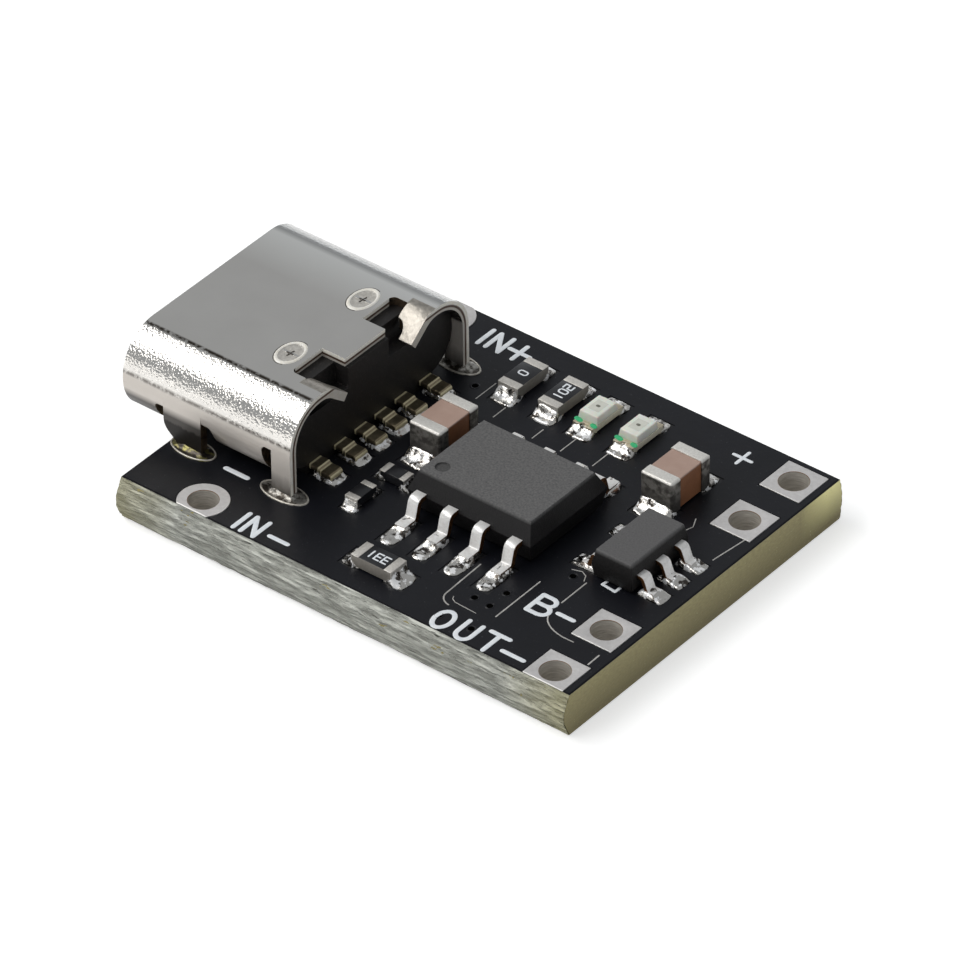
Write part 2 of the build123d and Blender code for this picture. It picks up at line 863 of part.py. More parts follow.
# Indicator lamps: a notched base with wrapped end contacts and a moulded clear lens
for name, x, y, turn in lamp_places:
    plane = chip_plane(x, y, turn)
    with BuildPart() as base:
        coated_chip(plane, lamp_size, lamp_cap)
        add(end_notches(plane, castellation + chip_plating), mode=Mode.SUBTRACT)
    with BuildPart() as end_contacts:
        wrapped_caps(plane, lamp_size, lamp_cap)
        add(base.part, mode=Mode.SUBTRACT)
        add(end_notches(plane, castellation), mode=Mode.SUBTRACT)
    with BuildPart() as lens:
        with BuildSketch(plane.offset(lamp_height)):
            Rectangle(lens_length, lamp_width)
        with BuildSketch(plane.offset(lamp_height + lens_height)):
            Rectangle(lens_length - 2 * lens_taper, lamp_width - 2 * lens_taper)
        loft()
    save(base, f"{name}_base")
    save(end_contacts, f"{name}_contacts")
    save(lens, f"{name}_lens")


def solder_lands(points, size_x, size_y):
    """Tinned lands on the board, a little proud of the mask."""
    with Locations(*[(x, y, core_top) for x, y in points]):
        Box(size_x, size_y, pad_thickness, align=from_below)


def fillet_profile(reach, height):
    """Hollow-faced wedge of solder, standing against a soldered face."""
    with BuildSketch() as profile:
        with BuildLine():
            Polyline(
                (0, 0),
                (0, height),
                (fillet_hollow * reach, fillet_hollow * height),
                (reach, 0),
                close=True,
            )
        make_face()
    return profile.sketch


# Solder of the capped parts: two lands each, and a fillet up each end
with BuildPart() as chip_solder:
    for lands in chip_lands:
        solder_lands(*lands)
    for x, y, turn, size, _, toe in capped_parts:
        for end in (turn, turn + 180):
            with BuildSketch(upright_plane(*ahead(x, y, end, size[0] / 2), end)):
                add(fillet_profile(toe - land_margin, size[2] * fillet_share))
            extrude(amount=size[1] / 2, both=True)

save(chip_solder, "chip_solder")

# Solder of both chips with leads: a land under each foot and a fillet at its toe
for name, lands, leads, span, toe, thickness, width in (
    (
        "charger_chip_solder",
        charger_lands,
        charger_leads,
        charger_span,
        charger_toe,
        charger_lead_thickness,
        charger_lead_width,
    ),
    (
        "protection_chip_solder",
        protection_lands,
        protection_leads,
        protection_span,
        protection_toe,
        protection_lead_thickness,
        protection_lead_width,
    ),
):
    with BuildPart() as lead_solder:
        solder_lands(*lands)
        for x, y, turn in leads:
            with BuildSketch(upright_plane(*ahead(x, y, turn, span / 2), turn)):
                add(fillet_profile(toe - land_margin, thickness))
            extrude(amount=width / 2, both=True)
    save(lead_solder, name)

# Solder of the contact tails: a land under each
with BuildPart() as contact_solder:
    solder_lands(*tail_lands)

save(contact_solder, "contact_solder")

# Solder of the connector's legs: fills each slot and spreads over its land on both faces
with BuildPart() as connector_leg_solder:
    with BuildSketch(Plane.XY):
        leg_slots(leg_clearance)
    extrude(amount=pad_top)
    for level, thickness in ((0, core_bottom), (core_top, pad_thickness)):
        with BuildSketch(Plane.XY.offset(level)):
            leg_slots(leg_clearance + leg_land)
        extrude(amount=thickness)
    add(connector_shell.part, mode=Mode.SUBTRACT)

save(connector_leg_solder, "connector_leg_solder")
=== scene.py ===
from math import atan2, cos, hypot, pi, radians, sin, sqrt, tan

import bmesh
import bpy
from mathutils import Matrix, Vector, noise


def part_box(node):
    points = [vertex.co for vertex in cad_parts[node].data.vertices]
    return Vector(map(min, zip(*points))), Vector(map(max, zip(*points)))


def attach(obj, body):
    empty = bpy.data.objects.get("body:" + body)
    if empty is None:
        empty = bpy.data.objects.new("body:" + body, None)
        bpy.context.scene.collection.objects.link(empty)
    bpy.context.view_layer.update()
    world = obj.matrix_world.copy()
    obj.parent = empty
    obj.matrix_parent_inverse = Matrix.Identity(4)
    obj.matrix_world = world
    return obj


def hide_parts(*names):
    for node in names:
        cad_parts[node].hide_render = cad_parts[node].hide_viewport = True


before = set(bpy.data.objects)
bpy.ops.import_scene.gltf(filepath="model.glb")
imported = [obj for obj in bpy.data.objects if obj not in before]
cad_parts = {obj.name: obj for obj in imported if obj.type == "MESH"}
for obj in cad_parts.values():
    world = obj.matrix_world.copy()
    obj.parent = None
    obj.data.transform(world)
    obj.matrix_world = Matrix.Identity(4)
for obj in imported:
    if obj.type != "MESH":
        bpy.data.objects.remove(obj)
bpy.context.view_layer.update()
scene = bpy.context.scene


# Board core: a panel of woven glass and epoxy, 1.6 mm thick with its masks. Its ends are
# milled smooth. Both long sides were scored from above and below and snapped, which
# leaves a rough ridge of broken fibres along each.
def colour(code):
    """Linear colour of a six-digit sRGB code."""
    parts = [int(code[i : i + 2], 16) / 255 for i in (0, 2, 4)]
    return (*[p / 12.92 if p < 0.04045 else ((p + 0.055) / 1.055) ** 2.4 for p in parts], 1)


def effect_group(name, inputs, output):
    """Effect group with a point, numbers and one output, and noise of the given size in it."""
    group = bpy.data.node_groups.new(name, "ShaderNodeTree")
    group.interface.new_socket("Point", in_out="INPUT", socket_type="NodeSocketVector")
    for label, value in inputs:
        socket = group.interface.new_socket(label, in_out="INPUT", socket_type="NodeSocketFloat")
        socket.default_value = value
    group.interface.new_socket(output, in_out="OUTPUT", socket_type="NodeSocketFloat")
    given = group.nodes.new("NodeGroupInput")
    result = group.nodes.new("NodeGroupOutput")
    scale = group.nodes.new("ShaderNodeMath")
    scale.operation = "DIVIDE"
    scale.inputs[0].default_value = 1
    group.links.new(given.outputs["Size"], scale.inputs[1])
    field = group.nodes.new("ShaderNodeTexNoise")
    group.links.new(given.outputs["Point"], field.inputs["Vector"])
    group.links.new(scale.outputs[0], field.inputs["Scale"])
    return group, given, field, result


def fine_grain():
    """Even grain all over a surface: its size in millimetres and how much detail it has."""
    group, given, field, result = effect_group("fine_grain", (("Size", 0.1), ("Detail", 3)), "Grain")
    group.links.new(given.outputs["Detail"], field.inputs["Detail"])
    group.links.new(field.outputs["Fac"], result.inputs["Grain"])
    return group


def patches():
    """Separate patches or specks: their size, the share left bare and how soft they end."""
    inputs = (("Size", 1), ("Bare", 0.55), ("Softness", 0.06))
    group, given, field, result = effect_group("patches", inputs, "Mask")
    field.inputs["Detail"].default_value = 4
    top = group.nodes.new("ShaderNodeMath")
    group.links.new(given.outputs["Bare"], top.inputs[0])
    group.links.new(given.outputs["Softness"], top.inputs[1])
    step = group.nodes.new("ShaderNodeMapRange")
    group.links.new(field.outputs["Fac"], step.inputs["Value"])
    group.links.new(given.outputs["Bare"], step.inputs["From Min"])
    group.links.new(top.outputs[0], step.inputs["From Max"])
    group.links.new(step.outputs["Result"], result.inputs["Mask"])
    return group


grain_effect = fine_grain()
patch_effect = patches()


class Finish:
    """Material of one surface. Its patterns are laid out on the object in millimetres."""

    def __init__(self, name, **plain):
        self.material = bpy.data.materials.new(name)
        self.material.use_nodes = True
        self.tree = self.material.node_tree
        self.link = self.tree.links.new
        self.shader = self.tree.nodes["Principled BSDF"]
        for socket, value in plain.items():
            self.shader.inputs[socket.replace("_", " ")].default_value = value
        self.point = self.placed((1, 1, 1))
        self.height = None

    def placed(self, stretch):
        """Point on the object in millimetres, stretched along each axis."""
        place = self.tree.nodes.new("ShaderNodeTexCoord")
        layout = self.tree.nodes.new("ShaderNodeMapping")
        layout.inputs["Scale"].default_value = [1000 * s for s in stretch]
        self.link(place.outputs["Object"], layout.inputs["Vector"])
        return layout.outputs["Vector"]

    def effect(self, group, point=None, **values):
        """Output of an effect group, placed with its own values."""
        node = self.tree.nodes.new("ShaderNodeGroup")
        node.node_tree = group
        self.link(point or self.point, node.inputs["Point"])
        for label, value in values.items():
            node.inputs[label].default_value = value
        return node.outputs[0]

    def grain(self, size, detail=3, point=None):
        return self.effect(grain_effect, point, Size=size, Detail=detail)

    def patch(self, size, bare, softness, point=None):
        return self.effect(patch_effect, point, Size=size, Bare=bare, Softness=softness)

    def ramp(self, value, low, high, first=0.0, last=1.0):
        """Number that goes from the first to the last while a value goes from low to high."""
        step = self.tree.nodes.new("ShaderNodeMapRange")
        ends = {"From Min": low, "From Max": high, "To Min": first, "To Max": last}
        for socket, number in ends.items():
            step.inputs[socket].default_value = number
        self.link(value, step.inputs["Value"])
        return step.outputs["Result"]

    def along(self, axis, low, high):
        """Mask that rises from 0 to 1 between two places on one axis."""
        parts = self.tree.nodes.new("ShaderNodeSeparateXYZ")
        self.link(self.point, parts.inputs[0])
        return self.ramp(parts.outputs[axis], low, high)

    def band(self, axis, low, rise, fall, high):
        """Mask of 1 between two places on one axis, that rises before and falls after."""
        return self.join("SUBTRACT", self.along(axis, low, rise), self.along(axis, fall, high))

    def outside(self, axis, low, high):
        """Mask that falls from 1 to 0 between two places on one axis."""
        return self.join("SUBTRACT", 1.0, self.along(axis, low, high))

    def join(self, operation, first, second):
        """Sum, difference or product of two masks, kept between 0 and 1."""
        node = self.tree.nodes.new("ShaderNodeMath")
        node.operation = operation
        node.use_clamp = True
        for index, value in enumerate((first, second)):
            if isinstance(value, (int, float)):
                node.inputs[index].default_value = value
            else:
                self.link(value, node.inputs[index])
        return node.outputs[0]

    def blend(self, mask, low, high):
        """Colour that goes from one to another with a mask."""
        node = self.tree.nodes.new("ShaderNodeMix")
        node.data_type = "RGBA"
        self.link(mask, node.inputs["Factor"])
        for socket, value in ((node.inputs[6], low), (node.inputs[7], high)):
            if isinstance(value, str):
                socket.default_value = colour(value)
            else:
                self.link(value, socket)
        return node.outputs[2]

    def paint(self, mask, low, high):
        """Colour of the surface, on top of what is there already."""
        self.link(self.blend(mask, low, high), self.shader.inputs["Base Color"])

    def vary(self, socket, mask, low, high):
        """Lets a shader value go from one to another with a mask."""
        self.link(self.ramp(mask, 0, 1, low, high), self.shader.inputs[socket])

    def relief(self, mask, depth):
        """Raises the surface by a depth in millimetres where a mask is 1."""
        bump = self.tree.nodes.new("ShaderNodeBump")
        bump.inputs["Distance"].default_value = depth / 1000
        self.link(mask, bump.inputs["Height"])
        if self.height:
            self.link(self.height, bump.inputs["Normal"])
        self.height = bump.outputs["Normal"]
        self.link(self.height, self.shader.inputs["Normal"])


def grained(name, low, high, tint, relief, roughness, metallic=0.0):
    """Finish with one grain in its colour, and one in its relief with a depth."""
    made = Finish(name, Roughness=roughness, Metallic=metallic)
    made.paint(made.grain(*tint), low, high)
    made.relief(made.grain(*relief[:2]), relief[2])
    return made


def corners(node):
    """Lowest and highest corner of a CAD node, in millimetres."""
    low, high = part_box(node)
    return low * 1000, high * 1000


def middle_of(node):
    """Middle of a CAD node, in millimetres."""
    low, high = corners(node)
    return (low + high) / 2


def shape_of(node):
    """Shape of a CAD node in millimetres, with its triangles merged into plain faces."""
    shape = bmesh.new()
    shape.from_mesh(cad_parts[node].data)
    bmesh.ops.scale(shape, vec=(1000, 1000, 1000), verts=shape.verts)
    bmesh.ops.remove_doubles(shape, verts=shape.verts, dist=0.0005)
    bmesh.ops.dissolve_limit(shape, angle_limit=radians(0.5), verts=shape.verts, edges=shape.edges)
    return shape


def round_edges(shape, width, segments=2, over=40):
    """Rounds the edges that turn by more than an angle in degrees."""
    paired = [edge for edge in shape.edges if len(edge.link_faces) == 2]
    turned = [edge for edge in paired if edge.calc_face_angle() > radians(over)]
    bmesh.ops.bevel(
        shape, geom=turned, affect="EDGES", offset=width, segments=segments, profile=0.5,
        material=-1, clamp_overlap=True,
    )


def in_scene(name, data):
    """Object in the scene, made of a mesh, a light or a camera."""
    made = bpy.data.objects.new(name, data)
    scene.collection.objects.link(made)
    return made


def shown(name, shape):
    """Object in the scene with the mesh of a shape in millimetres."""
    bmesh.ops.scale(shape, vec=(0.001, 0.001, 0.001), verts=shape.verts)
    mesh = bpy.data.meshes.new(name)
    shape.to_mesh(mesh)
    shape.free()
    return in_scene(name, mesh)


def piece(name, shape, finishes, nodes=(), smooth=35):
    """Makes a finished piece of a shape in millimetres and fixes it to the board."""
    made = shown(name, shape)
    made.data.shade_smooth()
    made.data.set_sharp_from_angle(angle=radians(smooth))
    made.modifiers.new("flat_faces_stay_flat", "WEIGHTED_NORMAL").keep_sharp = True
    for finish in finishes:
        made.data.materials.append(finish.material)
    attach(made, "root")
    if nodes:
        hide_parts(*nodes)


def coat(node, finish):
    """Gives a CAD node its finish."""
    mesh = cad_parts[node].data
    mesh.materials.clear()
    mesh.materials.append(finish.material)


board_low, board_high = corners("circuit_board")
core_bottom, core_top = board_low.z, board_high.z
mask_low, mask_high = corners("solder_mask_top")
mask_top = mask_high.z

epoxy = Finish("milled_epoxy", Roughness=0.55)
weave = epoxy.grain(0.16, 4, epoxy.placed((1, 1, 2.2)))
sawn = epoxy.blend(weave, "b5aa74", "7f764c")
# Painted highlight: the milled face grows lighter towards the far end of the board, and painted shade
# darkens it towards the bottom.
sawn = epoxy.blend(epoxy.along("Y", 4.9, 6.3), sawn, "fff7ae")
lower = epoxy.along("Z", 0.2, 1.5)
shaded = epoxy.blend(lower, "7b7146", sawn)
speckled = epoxy.blend(epoxy.patch(0.07, 0.68, 0.05), shaded, "b9b68c")
under_mask = epoxy.along("Z", 1.56, 1.568)
epoxy.paint(under_mask, speckled, "17171a")
epoxy.relief(weave, 0.02)
coat("circuit_board", epoxy)

fibre = Finish("snapped_fibre", Roughness=0.8)
streaks = fibre.patch(0.5, 0.36, 0.26, fibre.placed((0.5, 4, 5)))
threads = fibre.grain(0.14, 5, fibre.placed((0.3, 2, 2)))
dark_glass = fibre.blend(threads, "6a6b63", "aeafa6")
pale_glass = fibre.blend(threads, "bdbfb4", "f6f7ee")
fibres = fibre.blend(streaks, dark_glass, pale_glass)
resin = fibre.blend(streaks, "989474", "d0ccac")
wander = fibre.grain(1.6, 2)
left_end = fibre.outside("X", -8.7, -6.6)
right_end = fibre.along("X", 6.4, 8.6)
ends = fibre.join("ADD", left_end, right_end)
ends = fibre.join("MULTIPLY", ends, fibre.join("ADD", wander, 0.45))
worn = fibre.blend(ends, fibres, resin)
dashes = fibre.patch(0.4, 0.66, 0.06, fibre.placed((0.6, 3, 7)))
fibre.paint(dashes, worn, "595850")
fibre.relief(streaks, 0.1)
fibre.relief(fibre.grain(0.06, 4), 0.03)

score_web, least_proud, torn_depth, skin_depth = 0.35, 0.028, 0.042, 0.05


def snapped_side(name, side, ridge, rim):
    """Thin skin of broken fibres over one snapped side of the core."""
    shape = bmesh.new()
    bmesh.ops.create_grid(shape, x_segments=300, y_segments=26, size=1)
    reach = board_high.x - 0.005
    middle = (core_bottom + core_top) / 2
    half = (core_top - core_bottom) / 2
    for vert in shape.verts:
        along = vert.co.x * reach
        level = vert.co.y * half
        slope = max(0.0, abs(level) - score_web / 2) / (half - score_web / 2)
        out = ridge + (rim - ridge) * slope
        torn = noise.noise(Vector((along * 0.9, level * 7, side * 9)))
        torn += 0.6 * noise.noise(Vector((along * 3.1, level * 16, side * 5)))
        torn += 0.35 * noise.noise(Vector((along * 9, level * 30, 3)))
        proud = (least_proud + torn_depth * torn) * min(1.0, 6 * (1 - abs(vert.co.y)) + 0.1)
        vert.co = Vector((along, out + side * proud, middle + level))
    bmesh.ops.solidify(shape, geom=shape.faces, thickness=skin_depth)
    for vert in shape.verts:
        vert.co.z = min(max(vert.co.z, core_bottom), core_top)
    bmesh.ops.recalc_face_normals(shape, faces=shape.faces)
    piece(name, shape, [fibre], smooth=60)


past_mask = 0.04
snapped_side("snapped_front", -1, board_low.y, mask_low.y - past_mask)
snapped_side("snapped_back", 1, board_high.y, mask_high.y + past_mask)


# Solder masks: a coat of black resist over the copper on each face of the core, cured to a
# satin surface that follows the glass weave a little. It ends just inside each rim and
# around each land.
resist = Finish("black_resist", Roughness=0.36, Specular_IOR_Level=0.28)
cloth = resist.grain(0.35, 2)
clean_resist = resist.blend(resist.grain(2.2, 4), "0b0c10", "15161d")
resist.paint(resist.patch(0.07, 0.69, 0.04), clean_resist, "46474b")
resist.vary("Roughness", resist.grain(0.9, 5), 0.32, 0.44)
resist.relief(cloth, 0.006)
resist.relief(resist.grain(0.03, 2), 0.0012)
coat("solder_mask_top", resist)
coat("solder_mask_bottom", resist)


# Copper edges under the top mask: the resist is thin where it runs over the edge of a
# track or of a poured area, and the pale line along it is partly that and partly a
# painted highlight on the raised edge. Vias are small drilled and plated holes that join
# both faces.
def run(shape, points, width, low, high):
    """Domed line with round ends along some points, lying between two levels."""
    places = [Vector(points[0])]
    for point in points[1:]:
        if (Vector(point) - places[-1]).length > 0.001:
            places.append(Vector(point))
    looped = (places[0] - places[-1]).length < 0.001
    corner = [0]
    for index in range(1, len(places) - 1):
        turn = (places[index] - places[index - 1]).angle(places[index + 1] - places[index])
        if turn > radians(50):
            corner.append(index)
    corner.append(len(places) - 1)
    for first, last in zip(corner, corner[1:]):
        sweep(shape, places[first : last + 1], width / 2, low, high, looped and len(corner) == 2)


def sweep(shape, places, half, low, high, looped):
    """One smooth stretch of a domed line, with round ends unless it closes on itself."""
    count = len(places)
    stations = []
    for index, place in enumerate(places):
        before = places[index - 1] if index else (places[-2] if looped else place)
        after = places[index + 1] if index < count - 1 else (places[1] if looped else place)
        ahead = (after - before).normalized()
        stations.append((place, ahead, 1.0))
    if not looped:
        for turn in (35, 62, 84):
            reach, share = half * sin(radians(turn)), cos(radians(turn))
            start, finish = stations[0], stations[-1]
            stations.insert(0, (places[0] - start[1] * reach, start[1], share))
            stations.append((places[-1] + finish[1] * reach, finish[1], share))
    section = ((-1, 0), (-0.93, 0.6), (-0.7, 0.93), (0, 1), (0.7, 0.93), (0.93, 0.6), (1, 0))
    rows = []
    for place, ahead, share in stations:
        side = Vector((-ahead.y, ahead.x)) * half * share
        row = []
        for across, up in section:
            spot = place + side * across
            row.append(shape.verts.new((spot.x, spot.y, low + (high - low) * up * sqrt(share))))
        rows.append(row)
    for near, far in zip(rows, rows[1:]):
        for index in range(len(section) - 1):
            shape.faces.new((near[index], far[index], far[index + 1], near[index + 1]))


def arc(x, y, radius_x, radius_y, start, end, steps):
    """Points on part of an oval, between two angles."""
    found = []
    for step in range(steps + 1):
        turn = radians(start + (end - start) * step / steps)
        found.append((x + radius_x * cos(turn), y + radius_y * sin(turn)))
    return found


# The pale colour of these lines is partly thin resist and partly painted highlight.
track_edge_highlight = grained("thin_resist_and_highlight", "75736f", "e4e1dc", (0.25, 5), (0.25, 5, 0.004), 0.45)

track_lines = (
    (0.055, ((2.78, -3.39), (2.84, -5.1), *arc(3.33, -5.16, 0.49, 0.43, 180, 262, 6))),
    (0.03, ((3.13, -5.16), (3.18, -5.27), (3.34, -5.36), (4.2, -5.4))),
    (0.055, ((4.79, -5.15), (4.78, -2.95))),
    (0.055, ((5.95, -2.12), (5.96, -3.36))),
    (0.05, ((5.99, -3.95), *arc(7.2, -3.95, 1.2, 0.74, 186, 262, 8), (7.45, -4.68))),
    (0.04, ((5.18, -1.85), (5.5, -1.74), (5.72, -1.85), (5.83, -2.08))),
    (0.06, ((8.48, -4.72), (8.49, -5.27))),
    (0.045, ((-2.68, 3.22), (-2.68, 4.23))),
    (0.045, ((-1.64, 2.8), (-1.64, 3.41))),
    (0.045, ((0.02, 2.68), (0.02, 3.24))),
    (0.045, ((1.14, 2.7), (1.14, 3.48))),
    (0.045, ((2.41, 2.72), (2.41, 3.56))),
    (0.05, ((8.33, 1.21), (8.47, 2.41), (8.61, 3.56))),
    (0.04, ((6.72, 1.82), (6.82, 2.16), (6.64, 2.54))),
)
edges = bmesh.new()
for width, points in track_lines:
    run(edges, points, width, mask_top - 0.01, mask_top + 0.008)
piece("copper_edges", edges, [track_edge_highlight])

via_points = (
    (3.68, -4.81), (4.33, -4.03), (4.31, -4.85), (5.41, -2.1), (4.57, -6.09),
    (3.37, -6.18), (5.11, 1.69), (-3.12, 3.72),
)


def grown_loop(shape, loop):
    """Extrudes a closed loop of edges, and gives the new verts and the new loop."""
    grown = bmesh.ops.extrude_edge_only(shape, edges=loop)["geom"]
    verts = [v for v in grown if isinstance(v, bmesh.types.BMVert)]
    edges = [e for e in grown if isinstance(e, bmesh.types.BMEdge)]
    return verts, [e for e in edges if all(v in verts for v in e.verts)]


via_rims = bmesh.new()
via_hole_shades = bmesh.new()
for x, y in via_points:
    centre = Matrix.Translation((x, y, mask_top))
    rim = bmesh.ops.create_circle(via_rims, segments=20, radius=0.17, matrix=centre)["verts"]
    loop = list({edge for vert in rim for edge in vert.link_edges})
    for share, rise in ((0.82, 0.014), (0.78, -0.01)):
        inner, loop = grown_loop(via_rims, loop)
        bmesh.ops.scale(via_rims, vec=(share, share, 1), verts=inner, space=centre.inverted())
        bmesh.ops.translate(via_rims, vec=(0, 0, rise), verts=inner)
    centre = Matrix.Translation((x, y, mask_top + 0.003))
    bmesh.ops.create_circle(via_hole_shades, cap_ends=True, segments=20, radius=0.145, matrix=centre)
bmesh.ops.recalc_face_normals(via_rims, faces=via_rims.faces)
piece("via_rims", via_rims, [resist])
# Each via well is a flat near-black disc: painted shade standing for the dark of the hole.
hole_shade = Finish("via_hole_shade", Roughness=0.7, Specular_IOR_Level=0.0)
hole_shade.paint(hole_shade.grain(0.1), "020202", "0a0908")
piece("via_hole_shades", via_hole_shades, [hole_shade])


# Legends: white ink, screen-printed on the top mask in round-ended strokes.
# Only the signs of the terminals are there: IN, OUT, B, plus and minus.
ink = grained("legend_ink", "dde6ee", "ffffff", (0.14, 5), (0.14, 5, 0.006), 0.6)

ink_width = 0.175
ink_low = mask_top - 0.005
ink_high = mask_top + 0.014


def letter_n(x, y, width, height):
    return ((x, y), (x, y + height), (x + width, y), (x + width, y + height))


strokes = {
    0.2: (((-6.6, -4.45), (-5.75, -4.45)),),
    ink_width: (
        ((-4.5, -6.64), (-4.5, -5.8)),
        letter_n(-4.2, -6.64, 0.5, 0.84),
        ((-3.3, -6.3), (-2.58, -6.3)),
        ((-4.5, 5.58), (-4.5, 6.42)),
        letter_n(-4.18, 5.58, 0.5, 0.84),
        ((-3.49, 5.97), (-2.69, 5.97)),
        ((-3.09, 5.57), (-3.09, 6.37)),
        arc(3.6, -6.25, 0.29, 0.44, 0, 360, 24),
        ((4.29, -5.8), (4.29, -6.42), *arc(4.55, -6.42, 0.26, 0.28, 180, 360, 10), (4.81, -5.8)),
        ((5.14, -5.8), (5.86, -5.8)),
        ((5.5, -5.8), (5.5, -6.69)),
        ((6.00, -6.35), (6.82, -6.35)),
        ((5.72, -3.8), (5.28, -3.8), (5.28, -3.38), (5.65, -3.38)),
        arc(5.65, -3.59, 0.24, 0.21, 90, -90, 8),
        ((5.28, -3.8), (5.28, -4.27), (5.7, -4.27), *arc(5.7, -4.03, 0.27, 0.235, -90, 90, 8)),
        ((6.2, -3.85), (6.8, -3.85)),
    ),
    0.13: (((5.89, 5.6), (5.89, 6.27)), ((5.55, 5.93), (6.23, 5.93))),
    0.11: (((6.42, -1.62), (6.38, -1.86), (6.92, -1.92), (6.93, -1.66)),),
}
legends = bmesh.new()
for width, lines in strokes.items():
    for points in lines:
        run(legends, points, width, ink_low, ink_high)
piece("legends", legends, [ink])


# Terminals: plated copper lands on both faces, joined by a barrel through the board. The
# top land is matte with a lighter rim. The barrel is drilled, so that it shows rings.
matte = Finish("tinned_land", Metallic=0.35, Roughness=0.5)
mottle = matte.grain(0.12, 5)
matte.paint(mottle, "c2bfbd", "e3e1e0")
matte.vary("Roughness", matte.grain(0.4, 3), 0.42, 0.6)
matte.relief(mottle, 0.006)
matte.relief(matte.grain(0.02, 2), 0.001)

land_rim = grained("land_rim", "ddd8d0", "ffffff", (0.2, 4), (0.2, 4, 0.004), 0.35, 0.5)

plate = Finish("barrel_plate", Metallic=0.35, Roughness=0.5)
rings = plate.grain(0.16, 4, plate.placed((0.4, 0.4, 3)))
plate.paint(rings, "8d877d", "e6e1d8")
plate.relief(rings, 0.03)

copper_rim = grained("copper_rim", "5c3f28", "9c7a55", (0.2, 3), (0.05, 3, 0.004), 0.4, 0.6)

hole_radius = 0.5
barrel_reach, copper_reach = hole_radius + 0.004, hole_radius + 0.034
land_half = {"in": 0.85, "out": 0.778, "battery": 0.778}
for node in sorted(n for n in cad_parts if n.startswith("board_terminal_")):
    low, high = corners(node)
    half = land_half[node.split("_")[2]]
    middle_y = low.y + half if "plus" in node else high.y - half
    middle = Vector(((low.x + high.x) / 2, middle_y))
    shape = shape_of(node)
    round_edges(shape, 0.03)
    for face in shape.faces:
        spots = [Vector((v.co.x, v.co.y)) - middle for v in face.verts]
        reach = max(spot.length for spot in spots)
        if reach < barrel_reach:
            face.material_index = 1
        elif reach < copper_reach:
            face.material_index = 2
        elif abs(face.normal.z) < 0.98:
            face.material_index = 3
    finishes = [matte, plate, copper_rim, land_rim]
    piece(node.replace("board_terminal", "land"), shape, finishes, [node], 30)


# Socket shell: stainless sheet, rolled to a tube, cut and bent, and then nickel-plated. The
# plating is bright, with a fine grain along the rolled corners. Its four legs go down
# through the board.
nickel = Finish("bright_nickel", Metallic=1.0, Roughness=0.1)
satin = nickel.outside("Z", 3.42, 3.56)
rolled = nickel.outside("Z", 4.73, 4.76)
rolled = nickel.join("SUBTRACT", rolled, satin)
fine = nickel.grain(0.078, 1)
ragged = nickel.patch(0.16, 0.3, 0.22)
# Painted reflections: a thin dark line where the roof's bend begins stands for a dark thing mirrored
# there, and a brownish band low on the side for the board and its shadow mirrored there.
dark_reflection_line = nickel.band("Z", 4.735, 4.75, 4.762, 4.776)
dark_reflection_line = nickel.join("MULTIPLY", dark_reflection_line, nickel.along("Y", -2.9, -3.0))
dark_reflection_band = nickel.band("Z", 3.42, 3.5, 3.54, 3.64)
dark_reflection_band = nickel.join("MULTIPLY", dark_reflection_band, 0.75)
dark_reflections = nickel.join("MULTIPLY", nickel.join("ADD", dark_reflection_line, dark_reflection_band), ragged)
plain = nickel.blend(nickel.grain(1.5, 3), "d8d5d0", "e4e1dc")
# Painted highlight: the nickel grows lighter towards the far edge of the roof, and painted shade
# darkens the far side wall.
plain = nickel.blend(nickel.along("Y", 1.2, 2.9), plain, "fbfaf6")
far_side_shaded = nickel.blend(nickel.along("Y", 2.95, 3.2), plain, "bdbdbb")
# Painted shade and painted reflection of the board: the lower side and the legs darken towards the
# board, more at the front legs, broken by streaks.
shade_streaks = nickel.grain(0.35, 4, nickel.placed((2.2, 2.2, 0.5)))
front_shade = nickel.join("MULTIPLY", nickel.outside("X", -7.4, -6.6), 0.9)
lit_share = nickel.join("ADD", nickel.along("Z", 1.75, 2.55), nickel.join("MULTIPLY", shade_streaks, 0.35))
lit_share = nickel.join("SUBTRACT", lit_share, nickel.join("SUBTRACT", front_shade, nickel.along("Z", 2.6, 2.95)))
shaded_lower_side = nickel.blend(lit_share, "1d1916", "d6cfc7")
bright = nickel.blend(satin, far_side_shaded, shaded_lower_side)
nickel.paint(dark_reflections, bright, "463f37")
nickel.vary("Metallic", satin, 1.0, 0.45)
nickel.vary("Roughness", satin, 0.1, 0.42)
nickel.relief(nickel.join("MULTIPLY", fine, nickel.join("ADD", rolled, 0.02)), 0.022)
nickel.relief(nickel.grain(0.6, 2), 0.002)

# The bevels along the cut edges and the rims of the press marks are near-white: painted highlight.
edge_highlight = grained("edge_highlight", "efe6cf", "ffffff", (0.1, 4), (0.1, 4, 0.006), 0.3)

# The brown cut-wall finish is the raw colour of the cut walls and, on faces low in the shell or
# turned into the tube, painted shade.
cut_wall_and_shade = Finish("cut_wall_and_shade", Metallic=0.7, Roughness=0.4)
torn = cut_wall_and_shade.grain(0.12, 4)
brown = cut_wall_and_shade.blend(torn, "30271f", "7d6a54")
cut_wall_and_shade.paint(cut_wall_and_shade.patch(0.3, 0.5, 0.2), brown, "1a1511")
cut_wall_and_shade.relief(torn, 0.006)

pressed = Finish("pressed_nickel", Metallic=0.9, Roughness=0.38)
hammered = pressed.grain(0.14, 4)
pressed.paint(hammered, "77726b", "d6d0c6")
pressed.vary("Roughness", hammered, 0.3, 0.5)
pressed.relief(hammered, 0.016)

